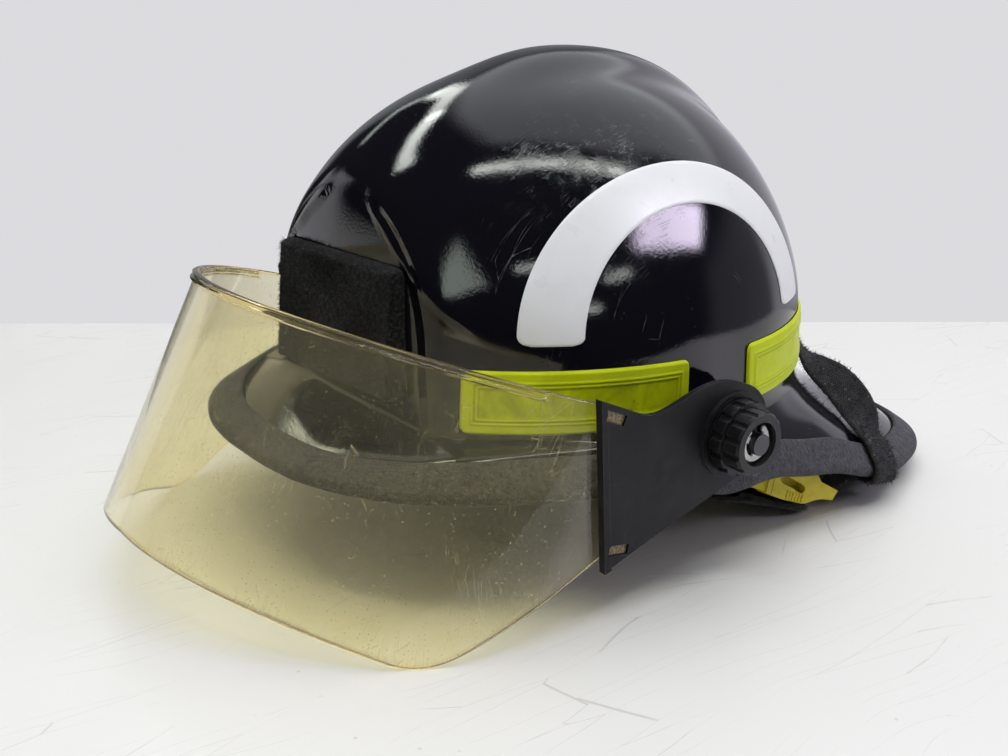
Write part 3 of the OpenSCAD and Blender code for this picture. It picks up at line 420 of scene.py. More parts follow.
class Finish(Graph):
    """A material: one Principled shader and the nodes that drive it."""

    def __init__(self, name, **sockets):
        self.material = bpy.data.materials.new(name)
        super().__init__(self.material)
        self.output = self.nodes.new("ShaderNodeOutputMaterial")
        self.shader = self.nodes.new("ShaderNodeBsdfPrincipled")
        self.links.new(self.shader.outputs[0], self.output.inputs[0])
        self.place = self.nodes.new("ShaderNodeTexCoord").outputs["Object"]
        self.normal = None
        for key, value in sockets.items():
            self.set(key.replace("_", " "), value)

    def set(self, socket, value):
        self.plug(self.shader.inputs[socket], value)

    def color(self, value):
        self.set("Base Color", value)

    def rough(self, value):
        self.set("Roughness", value)

    def stretch(self, scale, turn=(0, 0, 0), place=None):
        values = {"Vector": place or self.place, "Scale": scale,
                  "Rotation": [math.radians(t) for t in turn]}
        return self.node("ShaderNodeMapping", 0, values)

    def noise(self, scale, detail=3, rough=0.5, place=None, warp=0):
        values = {"Vector": place or self.place, "Scale": scale, "Detail": detail, "Roughness": rough,
                  "Distortion": warp}
        return self.node("ShaderNodeTexNoise", 0, values)

    def cells(self, scale, feature="F1", place=None):
        return self.node("ShaderNodeTexVoronoi", 0, {"Vector": place or self.place, "Scale": scale},
                         feature=feature)

    def ramp(self, factor, low, high, a=0.0, b=1.0):
        values = {"Value": factor, "From Min": low, "From Max": high, "To Min": a, "To Max": b}
        return self.node("ShaderNodeMapRange", 0, values)

    def blend(self, factor, a, b, kind="MIX"):
        made = self.nodes.new("ShaderNodeMix")
        made.data_type, made.blend_type = "RGBA", kind
        for socket, value in ((made.inputs[0], factor), (made.inputs[6], a), (made.inputs[7], b)):
            self.plug(socket, value)
        return made.outputs[2]

    def near(self, point, radius, soft=0.5):
        """1 near a point given in millimetres, falling to 0 at the radius."""
        ends = {0: self.place, 1: [c * MM for c in point]}
        gap = self.node("ShaderNodeVectorMath", "Value", ends, operation="DISTANCE")
        return self.ramp(gap, radius * MM * (1 - soft), radius * MM, 1, 0)

    def bump(self, height, strength, distance):
        values = {"Height": height, "Strength": strength, "Distance": distance}
        if self.normal is not None:
            values["Normal"] = self.normal
        self.normal = self.node("ShaderNodeBump", 0, values)
        self.set("Normal", self.normal)

    def parts(self, vector):
        """The three numbers of a vector."""
        made = self.nodes.new("ShaderNodeSeparateXYZ")
        self.links.new(vector, made.inputs[0])
        return made.outputs

    def scratches(self, scale, turn, width, stretch=14):
        """Thin long lines: the edges of cells drawn out along one direction."""
        wavy = self.blend(0.018, self.place, self.node("ShaderNodeTexNoise", 1, {
            "Vector": self.place, "Scale": 7.0, "Detail": 2.0}), "LINEAR_LIGHT")
        place = self.stretch((stretch, 1, 1), turn, wavy)
        return self.ramp(self.cells(scale, "DISTANCE_TO_EDGE", place), 0, width, 1, 0)

    def dust(self, low, high, scale=60.0):
        return self.ramp(self.noise(scale, 6, 0.7), low, high)

    def specks(self, scale, size, low, high, where):
        """Small round dots that come in patches."""
        return self.times(self.ramp(self.cells(scale), 0.0, size, 1, 0), self.dust(low, high, where))

    def mark(self, name):
        """The number that mark_points kept."""
        return self.node("ShaderNodeAttribute", "Fac", {}, attribute_name=name)


def shell_finish():
    f = Finish("gloss_shell", Specular_IOR_Level=0.5)
    worn = f.near(skin_pt(np.array(-22.0), np.array(0.50), 0.0), 52, 0.8)
    patchy = f.times(worn, f.dust(0.42, 0.62, 38.0))
    lines = f.most(f.scratches(22.0, (20, 35, 60), 0.010, 8),
                   f.scratches(18.0, (70, 10, -30), 0.008, 12))
    fine = f.most(f.scratches(34.0, (10, 80, 20), 0.024, 24),
                  f.scratches(30.0, (50, 20, 100), 0.024, 24))
    fine = f.most(fine, f.scratches(38.0, (80, 40, -20), 0.02, 24))
    fine = f.times(fine, f.dust(0.50, 0.56, 150.0))
    everywhere = f.times(lines, f.dust(0.58, 0.68, 30.0))
    marks = f.most(f.times(fine, patchy), f.times(everywhere, 0.6))
    marks = f.most(marks, f.times(f.specks(330.0, 0.16, 0.58, 0.66, 45.0), 0.55))
    tone = f.blend(f.noise(9.0, 3), (0.0032, 0.0036, 0.005), (0.006, 0.0055, 0.010))
    f.color(f.blend(marks, tone, (0.16, 0.16, 0.165)))
    rough = f.ramp(f.noise(70.0, 5, 0.7), 0.35, 0.75, 0.045, 0.09)
    rough = f.math("ADD", rough, f.times(f.most(marks, patchy), 0.20))
    f.rough(rough)
    x, y, _ = f.parts(f.place)
    flat = f.ramp(y, panel_y * MM + 0.0009, panel_y * MM + 0.0001)
    bow = f.times(f.times(x, x), f.times(flat, -panel_bow))
    f.bump(bow, 1.0, 1.0)
    f.bump(f.noise(760.0, 3, 0.6), 0.16, 0.0002)
    f.bump(marks, 0.25, 0.0001)
    return f.material


def rubber_finish(name, color, grain=900.0, rough=0.78):
    f = Finish(name, Specular_IOR_Level=0.35)
    grains = f.cells(grain)
    mottled = f.blend(f.ramp(f.noise(grain * 0.6, 4, 0.75), 0.35, 0.7), [c * 0.45 for c in color],
                      [c * 1.7 for c in color])
    dusty = f.times(f.ramp(grains, 0.0, 0.3, 1, 0), f.dust(0.48, 0.62, 70.0))
    f.color(f.blend(f.times(dusty, 0.45), mottled, (0.24, 0.235, 0.25)))
    f.rough(f.ramp(f.noise(200.0, 3), 0.3, 0.7, rough - 0.12, rough + 0.1))
    f.bump(grains, 0.7, 0.0006)
    f.bump(f.noise(grain, 4, 0.7), 0.6, 0.0004)
    return f.material


def stripe_finish(name, dirt):
    f = Finish(name, Specular_IOR_Level=0.22)
    lime = f.blend(f.noise(14.0, 2), (0.52, 0.62, 0.003), (0.62, 0.72, 0.005))
    field = f.mark("field")
    grime = f.ramp(f.noise(46.0, 8, 0.7, warp=0.5), 0.42, 0.62)
    dirty = f.blend(f.times(f.times(grime, field), dirt), lime, (0.12, 0.14, 0.003))
    stains = f.ramp(f.noise(9.0, 3, 0.6), 0.45, 0.65)
    dirty = f.blend(f.times(stains, 0.5 * dirt), dirty, (0.36, 0.40, 0.004))
    # The grooves beside the raised lines are painted darker: painted shade in the grooves, deepened
    # further by the dirt amount.
    lines = f.mark("lines")
    dirty = f.blend(f.times(lines, 0.3 + 0.5 * dirt), dirty, (0.10, 0.12, 0.003))
    dots = f.specks(260.0, 0.18, 0.52, 0.62, 50.0)
    f.color(f.blend(f.times(dots, 0.75), dirty, (0.05, 0.05, 0.01)))
    f.rough(f.ramp(grime, 0, 1, 0.40, 0.55))
    f.bump(f.cells(1500.0, "DISTANCE_TO_EDGE"), 0.12, 0.0002)
    f.bump(f.noise(120.0, 4, 0.6), 0.2, 0.0003)
    return f.material


def film_finish():
    f = Finish("white_film", Specular_IOR_Level=0.45)
    soil = f.times(f.dust(0.50, 0.72, 60.0), 0.10)
    tone = f.blend(soil, (0.82, 0.825, 0.845), (0.45, 0.44, 0.42))
    nicks = f.times(f.scratches(30.0, (10, 60, 40), 0.008), f.dust(0.6, 0.66, 30.0))
    f.color(f.blend(f.times(nicks, 0.5), tone, (0.25, 0.25, 0.26)))
    f.rough(f.ramp(f.noise(90.0, 4), 0.3, 0.7, 0.26, 0.40))
    f.bump(f.noise(700.0, 2), 0.08, 0.0002)
    return f.material


def fuzz_finish(name, color, scale=520.0):
    f = Finish(name, Specular_IOR_Level=0.25, Sheen_Weight=0.08, Sheen_Roughness=0.5, Roughness=0.95)
    grain = f.times(f.ramp(f.noise(scale * 1.4, 5, 0.8), 0.44, 0.64),
                    f.ramp(f.cells(scale * 1.1), 0.1, 0.7))
    tone = f.blend(grain, [c * 0.4 for c in color], [c * 4 + 0.03 for c in color])
    lint = f.specks(scale * 0.9, 0.2, 0.56, 0.64, 90.0)
    f.color(f.blend(f.times(lint, 0.5), tone, (0.22, 0.22, 0.21)))
    f.bump(f.noise(scale, 6, 0.8), 0.9, 0.0012)
    return f.material


def weave_finish(name, color, pitch=1.6, wear=0.5):
    """Webbing: ribs across the band and yarns along it, worn and fluffy."""
    f = Finish(name, Specular_IOR_Level=0.3, Sheen_Weight=0.06, Sheen_Roughness=0.5, Roughness=0.9)
    uv = f.nodes.new("ShaderNodeUVMap")
    uv.uv_map = "UVMap"
    u, v, _ = f.parts(uv.outputs[0])
    turn = 2 * math.pi / (pitch * MM)
    along = f.math("SINE", f.times(u, turn))
    across = f.math("SINE", f.times(v, turn * 1.1))
    weave = f.ramp(f.times(along, across), -1, 1)
    fluff = f.noise(700.0, 6, 0.8)
    shade = f.times(f.ramp(weave, 0, 1, 0.5, 1.0), f.ramp(fluff, 0.3, 0.7, 0.5, 1.3))
    tone = f.blend(shade, [c * 0.4 for c in color], [c * 1.6 for c in color])
    lint = f.specks(300.0, 0.24, 0.46, 0.52, 60.0)
    dusty = f.most(f.times(f.dust(0.5, 0.7, 80.0), 0.14 * wear), f.times(lint, 0.8 * wear))
    f.color(f.blend(dusty, tone, (0.20, 0.20, 0.19)))
    f.bump(weave, 0.5, 0.0004)
    f.bump(fluff, 0.55 * wear + 0.2, 0.0008)
    return f.material


def cloth_finish(name, color):
    """Heavy woven cloth, seen from either side."""
    f = Finish(name, Specular_IOR_Level=0.25, Sheen_Weight=0.15, Sheen_Roughness=0.5, Roughness=0.92)
    threads = {"Scale": 420.0, "Distortion": 1.5, "Detail": 2.0, "Detail Scale": 3.0}
    a, b = (f.node("ShaderNodeTexWave", 1, {"Vector": f.stretch((1, 1, 1), (0, tilt, 20)), **threads})
            for tilt in (45, -45))
    weave = f.most(a, b)
    tone = f.blend(f.ramp(f.noise(30.0, 5, 0.7), 0.3, 0.7), color, [c * 1.9 + 0.003 for c in color])
    dusty = f.times(f.dust(0.54, 0.72, 55.0), 0.3)
    f.color(f.blend(dusty, tone, (0.15, 0.145, 0.14)))
    f.bump(weave, 0.35, 0.0005)
    f.bump(f.noise(600.0, 5, 0.75), 0.4, 0.0006)
    return f.material


def plastic_finish(name, color, rough=0.42, grain=1400.0, wear=(0.10, 0.10, 0.105), amount=0.3,
                   gloss=0.4, edge_highlight=0.35):
    f = Finish(name, Specular_IOR_Level=gloss)
    tone = f.blend(f.noise(25.0, 4, 0.6), color, [c * 1.35 + 0.001 for c in color])
    rubbed = f.times(f.dust(0.56, 0.74, 70.0), amount)
    lines = f.times(f.scratches(22.0, (35, 20, 70), 0.012), f.dust(0.52, 0.6, 24.0))
    marks = f.most(rubbed, f.times(lines, amount))
    # Rounded edges are painted lighter, toward the worn tone: a painted highlight along the edges,
    # found where the Bevel normal turns away from the face.
    rounded = f.node("ShaderNodeBevel", 0, {"Radius": 0.0005}, samples=4)
    plain = f.nodes.new("ShaderNodeNewGeometry").outputs["Normal"]
    turned_off = f.node("ShaderNodeVectorMath", "Value", {0: rounded, 1: plain},
                        operation="DOT_PRODUCT")
    edge = f.times(f.ramp(turned_off, 0.995, 0.93), f.ramp(f.noise(160.0, 3), 0.35, 0.6, 0.25, 1))
    marks = f.most(marks, f.times(edge, edge_highlight))
    f.color(f.blend(marks, tone, wear))
    f.rough(f.ramp(f.noise(80.0, 5, 0.65), 0.3, 0.7, rough - 0.07, rough + 0.1))
    f.bump(f.noise(grain, 3, 0.6), 0.22, 0.0002)
    return f.material


def yellow_finish():
    f = Finish("yellow_plastic", Specular_IOR_Level=0.5)
    tone = f.blend(f.noise(60.0, 4, 0.6), (0.80, 0.64, 0.022), (0.86, 0.72, 0.035))
    grime = f.times(f.dust(0.50, 0.70, 160.0), 0.35)
    f.color(f.blend(grime, tone, (0.34, 0.24, 0.03)))
    f.rough(f.ramp(f.noise(120.0, 4), 0.3, 0.7, 0.30, 0.46))
    f.bump(f.noise(900.0, 3), 0.15, 0.0002)
    return f.material


def foam_finish():
    f = Finish("pale_foam", Specular_IOR_Level=0.3, Roughness=0.85)
    beads = f.cells(330.0, "DISTANCE_TO_EDGE")
    tone = f.blend(f.noise(20.0, 4), (0.52, 0.44, 0.30), (0.62, 0.54, 0.38))
    f.color(f.blend(f.ramp(beads, 0, 0.12, 0.5, 0), tone, (0.30, 0.25, 0.16)))
    f.bump(beads, 0.4, 0.0006)
    return f.material


def steel_finish(name, color, rough=0.35):
    f = Finish(name, Metallic=1.0)
    brushed = f.noise(90.0, 4, 0.6, f.stretch((1, 1, 14)))
    f.color(f.blend(brushed, [c * 0.7 for c in color], color))
    f.rough(f.ramp(brushed, 0.3, 0.7, rough - 0.1, rough + 0.12))
    f.bump(f.noise(500.0, 3), 0.1, 0.0001)
    return f.material


def lens_finish():
    """Aged yellow polycarbonate, hazed and scratched. Lamps shine through it, tinted."""
    f = Finish("aged_lens", Specular_IOR_Level=0.5, Transmission_Weight=1.0, IOR=1.45)
    yellow = f.blend(f.ramp(f.noise(11.0, 4, 0.6), 0.3, 0.7), (0.98, 0.94, 0.74), (0.94, 0.885, 0.65))
    amber = f.mark("amber")
    f.color(f.blend(amber, yellow, (0.86, 0.64, 0.20)))
    f.rough(f.ramp(f.noise(130.0, 5, 0.7), 0.35, 0.75, 0.03, 0.07))
    f.bump(f.noise(240.0, 2), 0.012, 0.0001)
    lines = f.most(f.scratches(26.0, (5, 30, 50), 0.010, 10),
                   f.scratches(20.0, (5, 60, -40), 0.008, 16))
    lines = f.times(lines, f.dust(0.52, 0.60, 26.0))
    specks = f.specks(420.0, 0.20, 0.40, 0.56, 40.0)
    cloudy = f.times(f.dust(0.38, 0.8, 16.0), 0.05)
    haze = f.math("ADD", f.times(f.most(lines, specks), 0.5), f.math("ADD", cloudy, 0.006))
    film = f.node("ShaderNodeBsdfDiffuse", 0, {"Color": (0.62, 0.58, 0.34)})
    hazed = f.either(haze, f.shader.outputs[0], film)
    clear = f.node("ShaderNodeBsdfTransparent", 0, {"Color": (0.86, 0.83, 0.66)})
    shadow = f.nodes.new("ShaderNodeLightPath").outputs["Is Shadow Ray"]
    f.plug(f.output.inputs[0], f.either(shadow, hazed, clear))
    return f.material


def tab_finish():
    """Ends of the lens sheet, cut and stained amber."""
    f = Finish("lens_tab", Specular_IOR_Level=0.5)
    stains = f.ramp(f.noise(900.0, 3), 0.35, 0.65)
    f.color(f.blend(stains, (0.07, 0.045, 0.012), (0.30, 0.235, 0.095)))
    f.rough(f.ramp(f.noise(400.0, 2), 0.3, 0.7, 0.25, 0.5))
    return f.material


def towards(azimuth, elevation):
    """The direction that lies at an azimuth, from X toward Y, and an elevation, in degrees."""
    level = math.cos(math.radians(elevation))
    return Vector((level * math.cos(math.radians(azimuth)), level * math.sin(math.radians(azimuth)),
                   math.sin(math.radians(elevation))))


# Camera at the photograph's viewing angle
view_turn = 51.611


def photo_camera():
    elevation, roll, distance = 18.257, 1.619, 582.104
    target = Vector((0, -26.501, 61.472))
    focal_px, image_width, sensor = 1246.767, 1008, 36
    back, right = towards(view_turn - 90, elevation), towards(view_turn, 0)
    up = back.cross(right)
    c, s = math.cos(math.radians(roll)), math.sin(math.radians(roll))
    right, up = right * c + up * s, up * c - right * s
    data = bpy.data.cameras.new("photo_camera")
    data.sensor_width = sensor
    data.lens = focal_px * sensor / image_width
    data.clip_start, data.clip_end = 0.01, 30
    camera = bpy.data.objects.new("photo_camera", data)
    bpy.context.scene.collection.objects.link(camera)
    matrix = camera.matrix_world.copy()
    for i, place in enumerate((target + back * distance) * MM):
        matrix[i] = right[i], up[i], back[i], place
    camera.matrix_world = matrix
    bpy.context.scene.camera = camera


photo_camera()


# Room: a white table, a pale wall beyond it and soft lamps
table_turn = view_turn + 6.3
wall_distance = 0.298
table_near = -0.36
wall_tone = (0.715, 0.71, 0.735)
dark_room = 0.015


def floor_finish():
    f = Finish("white_table", Specular_IOR_Level=0.3)
    tone = f.blend(f.noise(3.0, 4), (0.735, 0.725, 0.71), (0.77, 0.765, 0.755))
    lines = f.most(f.scratches(5.0, (0, 0, 25), 0.004, 9), f.scratches(4.0, (0, 0, -50), 0.004, 12))
    lines = f.times(lines, f.dust(0.44, 0.56, 9.0))
    dots = f.specks(80.0, 0.08, 0.48, 0.6, 14.0)
    marks = f.times(f.most(lines, dots), 0.42)
    f.color(f.blend(marks, tone, (0.30, 0.25, 0.20)))
    f.rough(f.ramp(f.noise(20.0, 5), 0.3, 0.7, 0.30, 0.45))
    return f.material


def table_top():
    """A wide slab whose far edge lies where the photograph's table meets the wall. Its front part
    isn't mirrored in the gloss, which shows a dark room there."""
    a = math.radians(table_turn)
    ahead, right = Vector((-math.sin(a), math.cos(a), 0)), Vector((math.cos(a), math.sin(a), 0))
    white = floor_finish()
    for name, near, far, side in (("table_top", table_near, wall_distance, 0.75),
                                  ("table_front", -1.3, table_near, 1.0)):
        corners = [ahead * y + right * x
                   for y, x in ((near, -side), (near, side), (far, side), (far, -side))]
        mesh = bpy.data.meshes.new(name)
        mesh.from_pydata([tuple(c) for c in corners], [], [(0, 1, 2, 3)])
        mesh.materials.append(white)
        slab = bpy.data.objects.new(name, mesh)
        bpy.context.scene.collection.objects.link(slab)
        slab.visible_glossy = name == "table_top"


table_top()


def lamp(name, place, target, width, height, power, color=(1, 1, 1)):
    data = bpy.data.lights.new(name, "AREA")
    data.shape, data.size, data.size_y = "RECTANGLE", width, height
    data.energy, data.color = power, color
    made = bpy.data.objects.new(name, data)
    made.visible_glossy = False
    made.location = place
    made.rotation_mode = "QUATERNION"
    made.rotation_quaternion = (Vector(target) - Vector(place)).to_track_quat("-Z", "Y")
    bpy.context.scene.collection.objects.link(made)


lamp("ceiling_soft", (0.05, 0.2, 2.1), (0, 0, 0.05), 2.0, 1.8, 17.6)
lamp("strip_left", (0.40, -0.80, 1.9), (0, 0, 0.1), 1.2, 0.2, 8.4, (0.96, 1, 0.97))
lamp("strip_side", (0.95, 0.0, 1.9), (0, 0, 0.1), 1.1, 0.2, 5.2, (0.96, 1, 0.97))
lamp("window", (1.05, 0.75, 0.75), (0, 0, 0.1), 0.30, 0.26, 2.0, (0.86, 0.80, 1.0))


class Room(Graph):
    """The world: one tone for what is seen past the table, one for matt light, and for gloss a
    dark room with a pale wall, tubes and windows, each placed by its direction."""

    def __init__(self):
        bpy.context.scene.world = bpy.data.worlds.new("room")
        super().__init__(bpy.context.scene.world)
        self.view = self.nodes.new("ShaderNodeTexCoord").outputs["Generated"]
        self.gloss = None

    def vector(self, kind, out, **values):
        values = {int(key[1:]): value for key, value in values.items()}
        return self.node("ShaderNodeVectorMath", out, values, operation=kind)

    def fade(self, value, low, high):
        return self.node("ShaderNodeMapRange", 0, {"Value": value, "From Min": low, "From Max": high},
                         interpolation_type="SMOOTHSTEP")

    def light(self, mask, color, strength):
        """Adds a light of a colour where the mask says."""
        part = self.vector("SCALE", "Vector", _0=color, _3=self.times(mask, strength))
        if self.gloss is not None:
            part = self.vector("ADD", "Vector", _0=self.gloss, _1=part)
        self.gloss = part

    def pane(self, corners, soft, color, strength):
        """A light between four directions, given in turn as seen from the helmet."""
        ends = [towards(*c) for c in corners]
        if ends[0].cross(ends[1]).dot(ends[2]) < 0:
            ends.reverse()
        mask = None
        for p, q in zip(ends, ends[1:] + ends[:1]):
            side = self.vector("DOT_PRODUCT", "Value", _0=self.view, _1=p.cross(q).normalized())
            edge = self.fade(side, -soft, soft)
            mask = edge if mask is None else self.times(mask, edge)
        self.light(mask, color, strength)

    def tube(self, path, radius, color, strength):
        """A bent strip of light through a row of directions."""
        ends = [towards(*c) for c in path]
        whole = None
        for p, q in zip(ends, ends[1:]):
            run = q - p
            away = self.vector("SUBTRACT", "Vector", _0=self.view, _1=p)
            share = self.vector("DOT_PRODUCT", "Value", _0=away, _1=run / run.length_squared)
            share = self.node("ShaderNodeClamp", 0, {"Value": share})
            on_run = self.vector("SCALE", "Vector", _0=run, _3=share)
            gap = self.vector("DISTANCE", "Value", _0=away, _1=on_run)
            near = self.fade(gap, radius, radius * 0.45)
            whole = near if whole is None else self.most(whole, near)
        self.light(whole, color, strength)

    def shade(self, color):
        return self.node("ShaderNodeBackground", 0, {0: color})

    def finish(self, ambient, shade, wall):
        ray = self.nodes.new("ShaderNodeLightPath").outputs
        seen = self.most(ray["Is Camera Ray"], ray["Is Transmission Ray"])
        a = math.radians(table_turn)
        above = Vector((-math.sin(a) * 0.6, math.cos(a) * 0.6, 0.8))
        high = self.fade(self.vector("DOT_PRODUCT", "Value", _0=self.view, _1=above), -0.15, 0.75)
        soft = self.either(high, self.shade(shade), self.shade(ambient))
        final = self.either(ray["Is Glossy Ray"], soft, self.shade(self.gloss))
        out = self.nodes.new("ShaderNodeOutputWorld")
        self.links.new(self.either(seen, final, self.shade(wall)), out.inputs[0])


def room_light():
    room = Room()
    room.light(1.0, (1, 1, 1.1), dark_room)
    room.pane(((84, -12), (84, 24), (128, 34), (128, -12)), 0.07, (0.97, 0.95, 1.06), 0.68)
    room.pane(((124, -20), (126, 30), (160, 30), (168, -20)), 0.06, (0.95, 0.97, 1.04), 0.26)
    room.pane(((44, -14), (48, 14), (88, 22), (88, -14)), 0.10, (0.96, 0.92, 1.08), 0.24)
    room.pane(((-178, -24), (-178, 18), (-151, 20), (-151, -24)), 0.05, (0.98, 0.98, 1.05), 0.8)
    room.pane(((82, 22), (58, 62), (64, 80), (-150, 82), (177, 60), (158, 34), (124, 30)), 0.07,
              (0.96, 0.98, 1.02), 1.12)
    room.tube(((174, 22), (163, 21), (160, 29)), 0.026, (0.9, 1, 0.92), 1.7)
    room.tube(((160, 30), (161, 38), (174, 48)), 0.052, (0.95, 1, 0.95), 5.0)
    room.tube(((174, 48), (-172, 51), (-156, 53), (-146, 55)), 0.056, (0.95, 1, 0.95), 9.5)
    room.tube(((-85, 75), (-32, 80), (15, 76), (35, 67), (47, 54)), 0.055, (0.96, 1, 0.95), 12.0)
    room.pane(((-58, 19), (-43, 21), (-50, 31), (-62, 43)), 0.035, (0.88, 1, 0.90), 3.4)
    room.pane(((34, 44), (64, 28), (50, 20), (21, 29)), 0.035, (0.88, 0.78, 1.0), 17.0)
    for azimuth, elevation, width in ((-26, 29, 4), (10, 21, 4), (-6, 9, 5)):
        ends = (azimuth - width, elevation), (azimuth + width, elevation + 1)
        room.tube(ends, 0.04, (0.95, 1, 0.95), 6.0)
    room.finish((0.76, 0.76, 0.78), (0.07, 0.07, 0.075), wall_tone)


room_light()
bpy.context.scene.view_settings.view_transform = "Standard"


# Outer shell: dense rows over the dome, the wall, the flare and the lip, and the same inside
def shell():
    columns = 360
    dome_rows = 84
    steps = np.concatenate([np.linspace(0, 1, dome_rows + 1)[1:], [1.25, 1.5, 1.75, 2],
                            np.linspace(2, 3, 25)[1:], [3.25, 3.5, 3.75, 4]])
    turn = round_steps(columns)
    outer = skin_pt(turn[None, :], steps[:, None], 0.0)
    inner = skin_pt(turn[None, :], steps[::-1][:, None], -shell_wall)
    edge_out, edge_in = outer[-1], inner[0]
    bead = [mix(edge_out, edge_in, t) + brim_frame(turn)[0] * 0.6 * math.sin(math.pi * t)
            for t in (0.25, 0.5, 0.75)]
    rows = np.concatenate([outer, np.array(bead), inner])
    made = capped_solid(crown_pt(0.0), rows, crown_pt(-shell_wall))
    piece = piece_from("shell_gloss", *made, shell_finish(), sharp=50)
    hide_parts("outer_shell")


shell()


# Rubber trim: a channel with soft edges and a slightly uneven line
def trim():
    columns = 720
    t, g = trim_thick / 2, shell_wall / 2 + seat
    crown = [(trim_tip - 3.4 + 3.4 * math.cos(q), (t - 0.15) * math.sin(q))
             for q in np.radians(np.linspace(-90, 90, 13))]
    outside = [(-trim_cover, -t + 1.2), (0.3 - trim_cover, -t + 0.6), (1.0 - trim_cover, -t + 0.25),
               (-6, -t), (0, -t + 0.1)] + crown
    outside += [(0, t - 0.1), (-6, t), (1.0 - trim_cover, t - 0.25), (0.3 - trim_cover, t - 0.6),
                (-trim_cover, t - 1.2)]
    inside = [(-trim_cover, g), (seat, g), (seat, -g), (-trim_cover, -g)]
    section = np.array(outside + inside)
    turn = round_steps(columns)[:, None]
    wave = 0.18 * sind(turn * 17) + 0.12 * sind(turn * 41 + 60)
    u = np.broadcast_to(section[:, 0], (columns, len(section)))
    w = trim_mid + np.broadcast_to(section[:, 1], (columns, len(section))) * (1 + 0.03 * wave)
    grow = np.where(np.arange(len(section)) < len(outside), 1, 0) * wave * 0.4
    loops = brim_pt(np.broadcast_to(turn, u.shape), u + grow, w)
    faces = quads(columns, len(section), wrap_rows=True, wrap_cols=True)
    points = loops.reshape(-1, 3)
    material = rubber_finish("trim_rubber", (0.047, 0.046, 0.052))
    piece = piece_from("trim_rubber", points, outward(points, faces), material, sharp=55)
    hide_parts("edge_trim")


trim()


def mirrored(points, side):
    return points * np.array([side, 1, 1])


def rounded_grid(width, height, radius, cols, rows):
    """Places on a rectangle with round corners: across, up, and the distance from its edge."""
    x, y = np.meshgrid(np.linspace(0, 1, cols), np.linspace(0, 1, rows))
    y = y * height
    d = np.minimum(y, height - y)
    inset = np.where(d < radius, radius - np.sqrt(np.maximum(0, radius ** 2 - (radius - d) ** 2)), 0)
    x = inset + x * (width - 2 * inset)
    edge = np.minimum(np.minimum(x - inset, width - x - inset) * 1.0, d)
    return x, y, edge


# Reflective stripes: a soft rim, a flat band, and two raised lines round the field
def stripe(name, node, start, end, side, material):
    cols, rows = ((220, 70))
    turn = np.linspace(start, end, 60)
    spine = wall_pt(turn, 0.5, 0.6)
    width = float(np.linalg.norm(np.diff(spine, axis=0), axis=1).sum())
    x, y, edge = rounded_grid(width, stripe_height, stripe_corner, cols, rows)
    a = start + (end - start) * x / width
    s = 1 + (stripe_height + 0.6 - y) / wall_drop
    rim = ease(edge / 1.0)
    line = np.exp(-((edge - 4.6) / 0.42) ** 2) + 0.8 * np.exp(-((edge - 6.2) / 0.42) ** 2)
    dip = ease((edge - 6.2) / 1.6)
    thick = 1.25 * rim + 0.38 * line - 0.22 * dip
    outer = skin_pt(a, s, seat + np.maximum(0.05, thick))
    inner = skin_pt(a, s, seat)
    made = sheet_solid(mirrored(outer, side), mirrored(inner, side))
    piece = piece_from(name, *made, material, sharp=60)
    mark_points(piece, "field", 0.35 + 0.65 * dip)
    # Grooves beside the raised lines, kept for the painted shade that the stripe's material puts in
    # them.
    groove = np.exp(-((edge - 5.4) / 0.3) ** 2) + 0.7 * np.exp(-((edge - 6.9) / 0.3) ** 2)
    mark_points(piece, "lines", groove)
    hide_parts(node)


front_lime, rear_lime = stripe_finish("lime_front", 0.6), stripe_finish("lime_rear", 0.12)
for side, word in ((1, "left"), (-1, "right")):
    stripe("front_stripe_" + word, "stripe_front_" + word, -55, -7, side, front_lime)
    stripe("rear_stripe_" + word, "stripe_rear_" + word, 12, 62, side, rear_lime)


# White film arches on the dome's sides
def side_place(y, z, off):
    """Place on the dome of a side-view point: the angle and level, refined in turn."""
    def level(a):
        lift = clamp(((z - stripe_z) / dome_rise) ** (1 / dome_powers(a)[1]))
        return np.degrees(np.arccos(lift)) / 90

    a = np.zeros_like(y)
    for _ in range(10):
        r = sind(90 * level(a)) ** dome_powers(a)[0]
        r = r * oval(a, dome_half_width, dome_front_reach, dome_rear_reach, dome_power)
        a = np.degrees(np.arcsin(np.clip((y - dome_y) / r, -0.99, 0.99)))
    return skin_pt(a, np.minimum(level(a), 1.0), off)


arch_outer, arch_band, arch_foot, arch_rise, arch_thick = 79, 23, 9, 64, 0.4


def side_arch(name, node, side):
    cols, rows = ((260, 24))
    length = math.pi * (arch_outer - arch_band / 2)
    x, y, edge = rounded_grid(arch_band, length, 4.5, rows, cols)
    t = 180 - 180 * y / length
    r = 1 - (arch_band / arch_outer) * x / arch_band
    py = dome_y - 2 + arch_outer * r * cosd(t)
    pz = stripe_z + arch_foot + (arch_rise - (1 - r) * arch_outer * 0.66) * sind(t)
    thick = arch_thick * ease(edge / 0.5 + 0.15)
    outer, inner = side_place(py, pz, seat + thick), side_place(py, pz, seat - 0.25)
    made = sheet_solid(mirrored(outer, side), mirrored(inner, side))
    piece = piece_from(name, *made, film_material, sharp=60)
    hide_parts(node)


film_material = film_finish()
side_arch("arch_film_left", "side_arch_left", 1)
side_arch("arch_film_right", "side_arch_right", -1)


